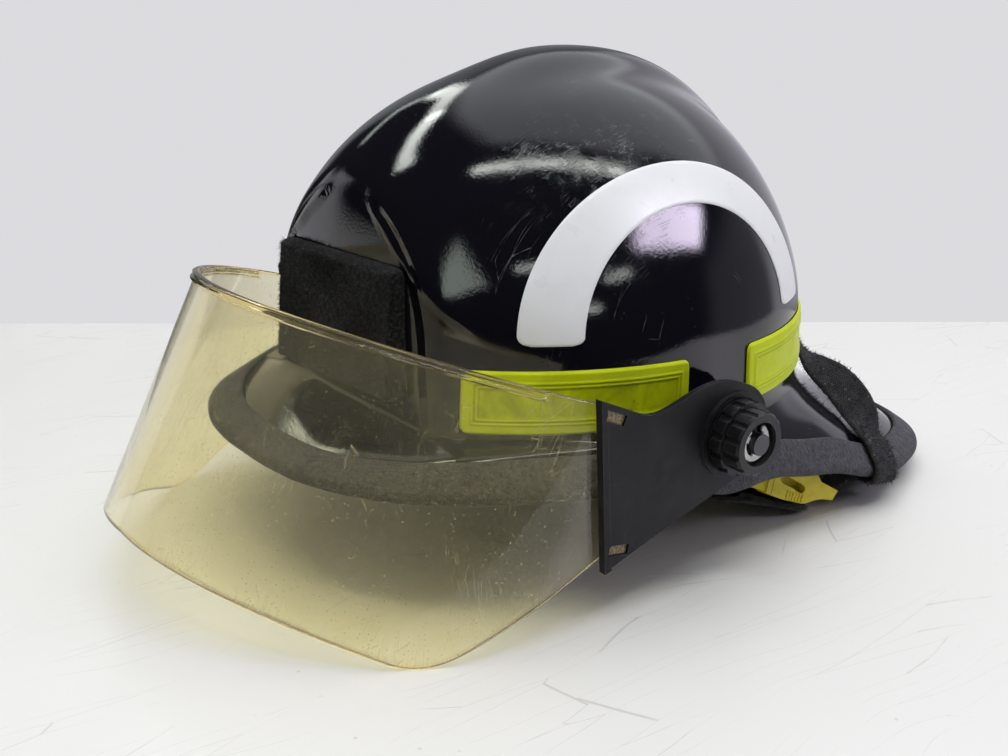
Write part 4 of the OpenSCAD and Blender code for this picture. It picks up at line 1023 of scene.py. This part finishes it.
# Fibres that stand out of fuzzy cloth
def fibres(name, roots, normals, length, width, seed, material, body="helmet"):
    """Short bent hairs with a pointed end, rooted just under the cloth."""
    rng = np.random.default_rng(seed)
    n = len(roots)
    lean = unit(normals + rng.normal(0, 0.75, (n, 3)))
    lean = unit(lean + normals * 0.25)
    bend = unit(rng.normal(0, 1, (n, 3)))
    size = length * rng.uniform(0.45, 1.2, (n, 1))
    side = unit(np.cross(lean, bend))
    other = np.cross(lean, side)
    root = roots - normals * 0.35
    middle = root + lean * size * 0.62 + bend * size * 0.12
    tip = root + lean * size * 0.9 + bend * size * 0.5
    ring = [(math.cos(q), math.sin(q)) for q in np.radians((90, 210, 330))]
    base = np.stack([root + (side * c + other * s) * width / 2 for c, s in ring], 1)
    upper = np.stack([middle + (side * c + other * s) * width * 0.4 for c, s in ring], 1)
    points = np.concatenate([base, upper, tip[:, None]], 1).reshape(-1, 3)
    faces = []
    for k in range(n):
        o = 7 * k
        faces += [[o, o + 2, o + 1], [o, o + 1, o + 4, o + 3], [o + 1, o + 2, o + 5, o + 4],
                  [o + 2, o, o + 3, o + 5], [o + 3, o + 4, o + 6], [o + 4, o + 5, o + 6],
                  [o + 5, o + 3, o + 6]]
    return piece_from(name, points, faces, material, sharp=180, body=body)


# Hook-and-loop pad on the flat front panel
pad_width, pad_height, pad_top_z = 92, 54, stripe_z + 33
pad_shift, pad_tilt = -2, 2
pad_corner = 4
pad_depth_top, pad_depth_foot = 5.0, 9.0


def on_pad(points):
    """Turns points of the upright pad to its tilt and moves them to its place."""
    middle = pad_top_z - pad_height / 2
    x, z = points[..., 0], points[..., 2] - middle
    c, s = cosd(pad_tilt), sind(pad_tilt)
    return stack(x * c - z * s + pad_shift, points[..., 1], x * s + z * c + middle)


def pad_depth(up, edge):
    """How far the pad's face stands out, at a height and a distance from its border."""
    return mix(pad_depth_foot, pad_depth_top, up / pad_height) * ease(edge / 3.2 + 0.22)


def side_of(place, size):
    """-1 or 1 near one or the other end of the pad, else 0."""
    return np.where(place < pad_corner, -1.0, np.where(place > size - pad_corner, 1.0, 0))


def front_pad():
    cols, rows = ((150, 90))
    x, y, edge = rounded_grid(pad_width, pad_height, pad_corner, cols, rows)
    rng = np.random.default_rng(11)
    depth = pad_depth(y, edge)
    lumps = rng.normal(0, 0.16, x.shape) * ease(edge / 2)
    soft = 0.35 * np.sin(x / 9.0) * np.sin(y / 7.0 + 1) * ease(edge / 6)
    front = stack(x - pad_width / 2, panel_y - seat - depth - lumps - soft, y + pad_top_z - pad_height)
    back = stack(x - pad_width / 2, panel_y - seat + 0 * x, y + pad_top_z - pad_height)
    piece = piece_from("pad_cloth", *sheet_solid(on_pad(front), on_pad(back)), pad_material, sharp=80)
    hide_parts("front_pad")
    count = 12000
    px, py = rng.uniform(1, pad_width - 1, count), rng.uniform(1, pad_height - 1, count)
    e = np.minimum(np.minimum(px, pad_width - px), np.minimum(py, pad_height - py))
    roots = stack(px - pad_width / 2, panel_y - seat - pad_depth(py, e), py + pad_top_z - pad_height)
    tilt = np.clip(1 - e / 3.2, 0, 1)[:, None]
    out = np.stack([side_of(px, pad_width), 0 * px, side_of(py, pad_height)], 1)
    normals = unit(np.array([0, -1.0, 0]) + out * tilt)
    hairs = fibres("pad_fuzz", on_pad(roots), normals, 1.9, 0.21, 12,
                   fuzz_finish("pad_hairs", (0.008, 0.008, 0.009)))


pad_material = fuzz_finish("pad_fuzz", (0.006, 0.006, 0.007))
front_pad()


# Face shield: a bent sheet that leans back toward its top, with round edges and a double rim
lens_top_y, lens_top_z, lens_rear_y = 22 - plate_reach, -0.8, -34


def lens_curve(t, lean):
    p = [np.array(q, float) for q in ((lens_mid, lens_tail_y), (lens_mid, lens_tail_y - 42),
                                      (58, lean - lens_reach), (0, lean - lens_reach))]
    return bezier(*p, np.asarray(t)[..., None])


fine_steps = np.linspace(0, 1, 1601)
curve_run = run_along(lens_curve(fine_steps, 0))
tail_run = curve_run[-1]


def lens_plan(run, past, lean, end_y):
    """Place and outward direction in plan: run from the front, then past, 0 to 1, along the tail."""
    t = np.interp(tail_run - run, curve_run, fine_steps)
    step = lens_curve(np.minimum(1, t + 0.002), lean) - lens_curve(np.maximum(0, t - 0.002), lean)
    place = lens_curve(t, lean)
    place[..., 1] += past * (end_y - lens_tail_y)
    return place, unit(np.stack([-step[..., 1], step[..., 0]], -1))


def on_shield(y, z):
    """Y and Z of a place given in the shield's own frame."""
    a = math.radians(-shield_tilt)
    return dome_y + y * math.cos(a) - z * math.sin(a), pivot_z + y * math.sin(a) + z * math.cos(a)


def lens_foot(run):
    slope = (lens_lobe_drop - lens_centre_drop) / lens_lobe_run
    return smooth_max(-lens_centre_drop - slope * run,
                      -lens_lobe_drop + (run - lens_lobe_run) * lens_rise_rate, 14)


def face_shield():
    cols, rows = ((420, 96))
    t = np.linspace(-1, 1, cols)[None, :]
    depth = np.concatenate([np.linspace(0, 0.045, 14)[:-1], np.linspace(0.045, 1, rows - 13)])[:, None]
    whole = tail_run + lens_tail
    run = np.minimum(np.abs(t) * whole, tail_run)
    past = np.maximum(0, np.abs(t) * whole - tail_run) / lens_tail
    top, top_out = lens_plan(run, past, lens_lean, lens_top_y)
    foot, foot_out = lens_plan(run, past, 0, lens_rear_y)
    front = (lens_top_y - top[..., 1]) / (lens_reach - lens_lean + lens_top_y)
    high = lens_top_z - lens_dip * clamp(front)
    low = lens_foot(run + past * (lens_rear_y - lens_tail_y))
    z = mix(high, low, depth)
    place, out = mix(top, foot, depth[..., None]), unit(mix(top_out, foot_out, depth[..., None]))
    below = (high - z) / rib_height
    on_rib = ease((-top[..., 1] - rib_end + 3) / 3)
    rim = rib_step * on_rib * ease((1.06 - below) / 0.12)
    groove = 0.9 * on_rib * np.exp(-((below - 0.48) / 0.17) ** 2)
    edge = np.minimum(np.minimum(high - z, z - low), (1 - np.abs(t)) * whole)
    curl = np.sqrt(np.clip(1 - (1 - np.clip(edge / 0.7, 0, 1)) ** 2, 0.04, 1))
    side = np.where(t < 0, -1.0, 1.0)
    shells = []
    for off in (lens_thick / 2 * curl + (rim - groove) * curl, -lens_thick / 2 * curl):
        x, y = place[..., 0] + out[..., 0] * off, place[..., 1] + out[..., 1] * off
        shells.append(stack(side * x, y, z))
    points, faces = sheet_solid(*shells)
    amber = np.maximum(np.exp(-(edge / 1.1) ** 2), 0.75 * on_rib * np.exp(-((below - 0.48) / 0.2) ** 2))
    amber = np.maximum(amber, 0.8 * on_rib * np.exp(-((below - 1.08) / 0.12) ** 2))
    points[:, 1], points[:, 2] = on_shield(points[:, 1], points[:, 2])
    piece = piece_from("shield_sheet", points, faces, lens_finish(), sharp=60, body="visor")
    mark_points(piece, "amber", amber)
    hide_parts("face_shield")


def shield_tabs():
    """The sheet's tabs, which fill the slots of the side brackets."""
    tab_in, tab_out = lens_mid + lens_thick / 2 - 0.2, lens_mid + lens_thick / 2 + 1.7
    points, faces = [], []
    for side in (-1, 1):
        for (y, z), turn in (((11 - plate_reach, -5), -2), ((-43.5, -54.5), 12)):
            c, s, start = cosd(turn), sind(turn), len(points)
            for x in (tab_in, tab_out):
                for u, v in ((-1, -1), (1, -1), (1, 1), (-1, 1)):
                    du, dv = u * (tab_width / 2 - fit), v * (tab_height / 2 - fit)
                    points.append((side * x, *on_shield(y + du * c - dv * s, z + du * s + dv * c)))
            ring = [(0, 3, 2, 1), (4, 5, 6, 7)]
            ring += [(i, (i + 1) % 4, (i + 1) % 4 + 4, i + 4) for i in range(4)]
            faces += [tuple(start + i for i in (face if side > 0 else face[::-1])) for face in ring]
    piece = piece_from("shield_tabs", points, faces, tab_finish(), sharp=30, body="visor")


face_shield()
shield_tabs()


# Foam cap inside the dome
liner_gap, liner_thick = 1.3, 9


def liner():
    columns = 120
    steps = np.concatenate([np.linspace(0, 1, 25)[1:], [1.15, 1.3, 1.45]])
    turn = round_steps(columns)
    high, low = -shell_wall - liner_gap, -shell_wall - liner_gap - liner_thick
    rows = np.concatenate([skin_pt(turn[None, :], steps[:, None], high),
                           skin_pt(turn[None, :], steps[::-1][:, None], low)])
    made = capped_solid(crown_pt(high), rows, crown_pt(low))
    piece = piece_from("liner_foam", *made, foam_finish(), sharp=50)
    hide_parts("impact_liner")


liner()


# Webs: flat bands along a smooth run of points
def run_point(line, s):
    """Smooth place at s along a list of points, one step from each point to the next."""
    n = len(line) - 1
    i = np.minimum(np.floor(s).astype(int), n - 1)
    t = (s - i)[:, None]
    a, b, c, d = (line[np.clip(i + k, 0, n)] for k in (-1, 0, 1, 2))
    return 0.5 * (2 * b + (c - a) * t + (2 * a - 5 * b + 4 * c - d) * t * t
                  + (3 * b - a - 3 * c + d) * t ** 3)


def band_run(points, widths, step=1.2):
    """Centres, directions across and directions out of a band, a step apart along it."""
    line, width = np.array(points, float), np.array(widths, float)
    n = len(line) - 1
    s = np.linspace(0, n, 60 * n + 1)
    dense = run_point(line, s)
    run = run_along(dense)
    count = max(4, int(run[-1] / (step * 1)))
    along = np.linspace(0, run[-1], count)
    s = np.interp(along, run, s)
    centre = run_point(line, s)
    ahead, behind = np.minimum(n, s + 0.02), np.maximum(0, s - 0.02)
    direction = unit(run_point(line, ahead) - run_point(line, behind))
    up = unit(np.cross(direction, run_point(width, s)))
    return centre, np.cross(up, direction), up, along


def web(name, points, widths, width, material, node=None, fuzz=0, seed=1,
        body="helmet", nap=1.3):
    """A woven band with thick soft edges, and loose fibres if fuzz says how many."""
    centre, across, up, along = band_run(points, widths)
    profile = [(x, 1) for x in np.linspace(-1, 1, 17)] + [(x, -1) for x in np.linspace(1, -1, 17)]
    rng = np.random.default_rng(seed)
    loops, uv = [], []
    for x, face in profile:
        edge = 1 - abs(x)
        half = web_thick / 2 * min(1.0, 0.35 + 5 * edge)
        half = half * (1 + 0.12 * math.exp(-((edge - 0.12) / 0.08) ** 2))
        rough = rng.normal(0, 0.035, (len(centre), 1))
        fray = rng.normal(0, 0.12 if edge < 0.01 else 0.0, (len(centre), 1))
        loops.append(centre + across * (x * width / 2 + fray) + up * (face * half + rough))
        place = (x * 0.5 + (0 if face > 0 else 2)) * width * MM
        uv.append(np.stack([along * MM, np.full(len(centre), place)], 1))
    loops, uv = np.stack(loops, 1), np.stack(uv, 1)
    uv = np.concatenate([uv.reshape(-1, 2), [[0, 0], [0, 0]]])
    piece = piece_from(name, *tube_solid(loops), material, uv, sharp=75, body=body)
    if node:
        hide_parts(node)
    if fuzz:
        k, x = rng.integers(1, len(centre) - 1, fuzz), rng.uniform(-1, 1, fuzz)
        face = rng.choice([-1.0, 1.0], fuzz)
        roots = centre[k] + across[k] * (x * width / 2)[:, None]
        roots = roots + up[k] * (face * web_thick / 2)[:, None]
        hairs = fibres(name + "_fuzz", roots, up[k] * face[:, None], nap, nap / 10, seed + 5,
                       material, body)
    return piece


# Chin strap round the back of the dome and over the brim
cross_a = 49
over_gap = seat + web_thick / 2 + 1.3
over_lift = 2.8
trim_half = trim_thick / 2
wrap_gap = seat + web_thick / 2 + 0.5


def over_angle(k):
    return mix(90.0, cross_a, 1 - (1 - k) ** 1.2), mix(1.5, 2.93, k ** 1.25)


def over_pt(k):
    a, s = over_angle(k)
    return skin_pt(a, s, over_gap + over_lift * sind(180 * k ** 0.8))


def over_up(k):
    a, s = over_angle(k)
    return unit(np.cross(skin_pt(a + 2, s, 0.0) - skin_pt(a - 2, s, 0.0),
                         skin_pt(a, s - 0.1, 0.0) - skin_pt(a, s + 0.1, 0.0)))


brim_along = unit(brim_edge(cross_a + 4) - brim_edge(cross_a - 4))
wrap_dir = unit(np.cross(brim_along, brim_frame(cross_a)[1]))
wrap_up = np.cross(wrap_dir, brim_along)
wrap_places = [(-trim_cover - 4, over_gap + 0.4),
               (-trim_cover + 1, trim_mid + trim_half + wrap_gap + 0.3),
               (trim_tip - 4, trim_mid + trim_half + wrap_gap + 0.2),
               (trim_tip + wrap_gap - 0.1, trim_mid + 2), (trim_tip + wrap_gap + 0.1, trim_mid - 1.5),
               (trim_tip - 3, trim_mid - trim_half - wrap_gap - 0.6),
               (-2, trim_mid - trim_half - wrap_gap - 1.2)]
wrap = [brim_edge(cross_a) + wrap_dir * u + wrap_up * w for u, w in wrap_places]


def chin_strap():
    k = np.arange(8) / 8
    left = [over_pt(q) for q in k] + wrap
    width_left = [np.cross(unit(over_pt(q + 0.02) - over_pt(q)), over_up(q)) for q in k]
    width_left += [-brim_along for _ in wrap]
    for i, q in enumerate(k):
        slack = sind(180 * q ** 2.2)
        width_left[i] = width_left[i] * cosd(30 * slack) - over_up(q) * sind(30 * slack)
        left[i] = left[i] + over_up(q) * 5 * slack
    path = [mirrored(p, -1) for p in left[:0:-1]] + left
    widths = [mirrored(w, -1) for w in width_left[:0:-1]] + width_left
    web("chin_web", path, widths, chin_web + 3, strap_material, "chin_strap",
        fuzz=16000, seed=21, nap=2.0)


strap_material = weave_finish("black_web", (0.009, 0.009, 0.010), wear=1.0)
chin_strap()


# Strap ends under the brim, to the buckle on the left and to the anchor on the right
anchor_x = dome_half_width - 10
buckle_at = np.array([dome_half_width - 17.4, 67.1, 20.3])
buckle_turn = (77.6, 20, 73)
end_web = buckle_width - 3.6
web_z = -buckle_thick / 2 - seat - web_thick / 2


def turned(p):
    """A direction of the buckle's own frame, turned about X, Y and Z one after the other."""
    p = np.array(p, float)
    for (i, j), angle in zip(((1, 2), (2, 0), (0, 1)), buckle_turn):
        c, s = cosd(angle), sind(angle)
        p[i], p[j] = p[i] * c - p[j] * s, p[i] * s + p[j] * c
    return p


def on_buckle(p):
    return buckle_at + turned(p)


def strap_ends():
    """Each tail is sewn flat under an end of the strap and runs forward from there."""
    across = turned((0, 1, 0))
    tail_dir = unit(wrap[-1] - wrap[-2])
    lap = wrap[-1] + tail_dir * 2 + unit(np.cross(tail_dir, brim_along)) * (web_thick + 2 * seat)
    lap_front = lap - brim_along * 7
    start = [lap + brim_along * 8, lap, lap_front, lap_front + (-2.5, -7.7, -1.2)]
    turns = [tail_dir, tail_dir, tail_dir * 0.8 + across * 0.2, (-0.4, 0.3, 0.85)]
    left = start + [on_buckle(p) for p in ((29, 4, web_z - 1.2), (21, 2, web_z - 0.2), (13, 1, web_z),
                                           (5, 1, web_z))]
    first = web("strap_tail_left", left, turns + [across] * 4, end_web, strap_material,
                fuzz=1500, seed=31)
    right = start + [(anchor_x - 7, 90, 13), (anchor_x - 7, 68, 22), (anchor_x - 4, 46, 32),
                     (anchor_x - 0.5, 26, 46), (anchor_x, 12, 60)]
    turns += [(-0.3, 0.4, 0.85), (0, 0.4, 0.9), (0, 0.6, 0.8), (0, 0.8, 0.6), (0, 0.9, 0.43)]
    web("strap_tail_right", mirrored(np.array(right), -1), mirrored(np.array(turns), -1), end_web,
        strap_material, fuzz=1500, seed=32)
    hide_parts("strap_tails")
    front = [(anchor_x, 12, 60), (anchor_x - 0.8, 20, 50), (anchor_x - 6, 31, 40)]
    front += [on_buckle((u, 1, 0)) for u in (-32, -25, -19, -13)]
    turns = [(0, 0.9, 0.43), (0, 0.85, 0.55), (0, 0.7, 0.7)] + [across] * 4
    web("anchor_web", front, turns, end_web, strap_material, "anchor_strap_left",
        fuzz=600, seed=33, body=None)
    for name in ("anchor_web", "anchor_web_fuzz"):
        if name in bpy.data.objects:
            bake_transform(bpy.data.objects[name])


strap_ends()


# Crown straps and the pads that touch the head
strap_r = band_out - web_thick / 2
strap_z = band_top + 2 * seat
key_places = [(0, 0), (band_rear_y, 38), (band_rear_y, 142), (0, 180), (band_front_y, -142),
              (band_front_y, -38)]


def crown_straps():
    material = weave_finish("grey_web", (0.10, 0.10, 0.108), wear=0.4)
    for i, letter in enumerate("abc"):
        p, q = key_places[i], key_places[i + 3]
        r = strap_r - (0 if i == 0 else 2)
        start = np.array([r * cosd(p[1]), p[0] + r * sind(p[1]), 0])
        end = np.array([r * cosd(q[1]), q[0] + r * sind(q[1]), 0])
        middle, half = (start + end) / 2, (end - start) / 2
        across = unit(np.cross((0, 0, 1), half))
        points = []
        for k in range(11):
            t = 180 - 18 * k
            points.append(middle + half * cosd(t)
                          + np.array([0, 0, strap_z + (crown_rise + i * strap_step) * sind(t)]))
        web("crown_web_" + letter, points, [across] * 11, strap_web, material,
            "crown_strap_" + letter, seed=41 + i)


crown_straps()


def soft_arc(name, node, y, inner, outer, low, high, start, end, channels, material):
    """A padded strip bent round the band, with rounded sides and sewn channels."""
    cols, rows = ((200, 44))
    a = np.linspace(start, end, cols)[None, :]
    h = np.linspace(0, 1, rows)[:, None]
    length = math.radians(end - start) * inner
    from_edge = np.minimum(np.minimum(h, 1 - h) * (high - low),
                           np.minimum(a - start, end - a) / (end - start) * length)
    puff = np.sqrt(clamp(from_edge / 4.0) * (2 - clamp(from_edge / 4.0)))
    seam = np.zeros_like(puff)
    for k in range(1, channels):
        place = start + (end - start) * k / channels
        seam = np.maximum(seam, np.exp(-(np.radians(a - place) * inner / 1.1) ** 2) + 0 * h)
    depth = (outer - inner) * (0.25 + 0.75 * puff * (1 - 0.75 * seam))
    z = mix(low, high, h) + 0 * a
    near = stack((outer - depth) * cosd(a), y + (outer - depth) * sind(a), z)
    far = stack(outer * cosd(a) + 0 * z, y + outer * sind(a) + 0 * z, z)
    piece = piece_from(name, *sheet_solid(near, far), material, sharp=80)
    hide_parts(node)


def crown_pad(material):
    rings, turns, radius, shell = 22, 72, 24.0, 3.0
    r = radius * np.sin(np.linspace(0, math.pi / 2, rings))[1:, None]
    a = round_steps(turns)[None, :]
    drop = (crown_rise + 1) * (1 - np.sqrt(1 - (r / (strap_r - 1)) ** 2))
    top_z = strap_z + crown_rise - web_thick / 2 - 2 * seat
    puff = np.sqrt(np.clip(1 - (r / radius) ** 6, 0, 1))
    puff = puff * (1 - 0.22 * np.exp(-(sind(3 * a) * r / 1.6) ** 2))
    high = stack(r * cosd(a), r * sind(a), top_z - drop - shell / 2 + (shell / 2 - 0.05) * puff)
    low = stack(r * cosd(a), r * sind(a), top_z - drop - shell / 2 - shell / 2 * puff)
    made = capped_solid([[0, 0, top_z - 0.1]], np.concatenate([high, low[::-1]]),
                        [[0, 0, top_z - shell + 0.1]])
    piece = piece_from("crown_cushion", *made, material, sharp=80)
    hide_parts("crown_pad")


soft_material = cloth_finish("pad_lining", (0.045, 0.043, 0.041))
soft_arc("brow_cushion", "brow_pad", band_front_y, band_r - seat - 3.4, band_r - seat, band_z - 1,
         band_z - 1 + band_height * 0.85, 195, 345, 7, soft_material)
soft_arc("nape_cushion", "nape_pad", band_rear_y, band_r - 5, band_r - 1.6, band_z - 2,
         band_z + 24, 66, 114, 3, soft_material)
crown_pad(soft_material)


# Ear flap: hanging cloth with folds, a bound hem and a stitched line
def flap_mid(a, level):
    end = clamp((flap_from + 12 - a) / 12) ** 1.5 + clamp((a - 168 + flap_from) / 12) ** 1.5
    hem = mix(flap_out - 6, flap_hem_half, clamp((54 - a) / 14))
    keys = [[flap_out, flap_back, 60, 2.1], [flap_out - 2, flap_back, 52, 2.1],
            [flap_tuck, flap_back + 5.4, 30, 2.3], [flap_tuck - 0.8, flap_back + 8.4, 4, 2.4],
            [hem, flap_back + 12.4, flap_thick / 2, 2.6]]
    i = np.minimum(flap_levels - 1, np.floor(level)).astype(int)
    t = level - i
    table = [np.stack([np.broadcast_to(k[c], a.shape) for k in keys]) for c in range(4)]
    pick = [mix(np.take_along_axis(c, i[None], 0)[0], np.take_along_axis(c, (i + 1)[None], 0)[0], t)
            for c in table]
    wave = flap_fold * sind(a * 12) * clamp(level - 1) * level / 4
    half = mix(pick[0], np.minimum(pick[0], flap_out - 14), end * clamp(level - 3))
    r = oval(a, half, half, pick[1], pick[3]) + wave
    return stack(r * cosd(a), dome_y + r * sind(a), pick[2] + end * clamp((level - 2) / 2) * 12)


def ear_flap():
    cols, rows = ((300, 76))
    a = np.broadcast_to(np.linspace(flap_from, 180 - flap_from, cols)[None, :], (rows, cols)).copy()
    level = np.broadcast_to(np.linspace(0, flap_levels, rows)[:, None], (rows, cols)).copy()
    middle = flap_mid(a, level)
    d = flap_mid(a, np.minimum(flap_levels, level + 0.05)) - flap_mid(a, np.maximum(0, level - 0.05))
    o = stack(cosd(a), sind(a), 0 * a)
    lean = d[..., 0] * o[..., 0] + d[..., 1] * o[..., 1]
    normal = unit(o * -d[..., 2:3] + stack(0 * a, 0 * a, lean))
    hem = np.exp(-((level - hem_level) / 0.10) ** 2)
    stitch = np.exp(-((level - stitch_level) / 0.03) ** 2)
    half = flap_thick / 2 * (0.62 + 0.34 * hem - 0.18 * stitch)
    rng = np.random.default_rng(51)
    rumple = 0.14 * rng.normal(0, 1, a.shape) * clamp(level)
    outer = middle + normal * (half + rumple)[..., None]
    inner = middle - normal * (half - rumple)[..., None]
    black_cloth = cloth_finish("black_cloth", (0.013, 0.013, 0.014))
    piece = piece_from("flap_cloth", *sheet_solid(outer, inner), black_cloth, sharp=80)
    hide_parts("ear_flap")
    count = 2600
    turn = rng.uniform(flap_from + 0.5, 179.5 - flap_from, count)
    edge = flap_mid(turn, flap_levels - 0.12 * rng.random(count))
    normals = unit(stack(cosd(turn), sind(turn), 0.7 + 0 * turn))
    hairs = fibres("flap_fray", edge, normals, 2.6, 0.22, 52, black_cloth)


ear_flap()


# Rigid pieces keep their own meshes, with softened edges and a finish each
def dress(name, material, bevel=0.3):
    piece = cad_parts[name]
    piece.data.materials.clear()
    piece.data.materials.append(material)
    piece.data.polygons.foreach_set("material_index", [0] * len(piece.data.polygons))
    weld = piece.modifiers.new("weld", "WELD")
    weld.merge_threshold = 1e-6
    if bevel:
        soft = piece.modifiers.new("soft_edges", "BEVEL")
        soft.width = bevel * MM
        soft.segments = 2
        soft.limit_method = "ANGLE"
        soft.angle_limit = math.radians(40)


black = plastic_finish("black_plastic", (0.0045, 0.0045, 0.0055), 0.44, amount=0.07, gloss=0.2,
                       edge_highlight=0.5)
dark = plastic_finish("knob_plastic", (0.006, 0.006, 0.007), 0.36, 2200.0, amount=0.10, gloss=0.3)
grey = plastic_finish("grey_plastic", (0.045, 0.045, 0.049), 0.42)
white = plastic_finish("white_plastic", (0.78, 0.78, 0.76), 0.38, 1400.0, (0.4, 0.38, 0.34), 0.35)
yellow = yellow_finish()
washer_steel = steel_finish("washer_steel", (0.55, 0.55, 0.56))
stud_steel = steel_finish("stud_steel", (0.10, 0.10, 0.105), 0.4)

for word in ("left", "right"):
    dress("shield_bracket_" + word, black, 0.35)
    dress("pivot_base_" + word, black, 0)
    dress("pivot_stud_" + word, stud_steel, 0.2)
    dress("friction_washer_" + word, washer_steel, 0)
    dress("pivot_knob_" + word, dark, 0.3)
    dress("retaining_clip_" + word, white, 0.15)
    dress("adjuster_tail_" + word, grey, 0.2)
dress("pad_rivets", dark, 0)
dress("headband", grey, 0.3)
dress("suspension_keys", grey, 0.3)
dress("ratchet_housing", grey, 0)
dress("ratchet_dial", dark, 0.3)
dress("flap_snaps", grey, 0.2)
dress("strap_anchors", grey, 0.3)
dress("buckle_body", yellow, 0.25)
dress("buckle_prong", yellow, 0.2)
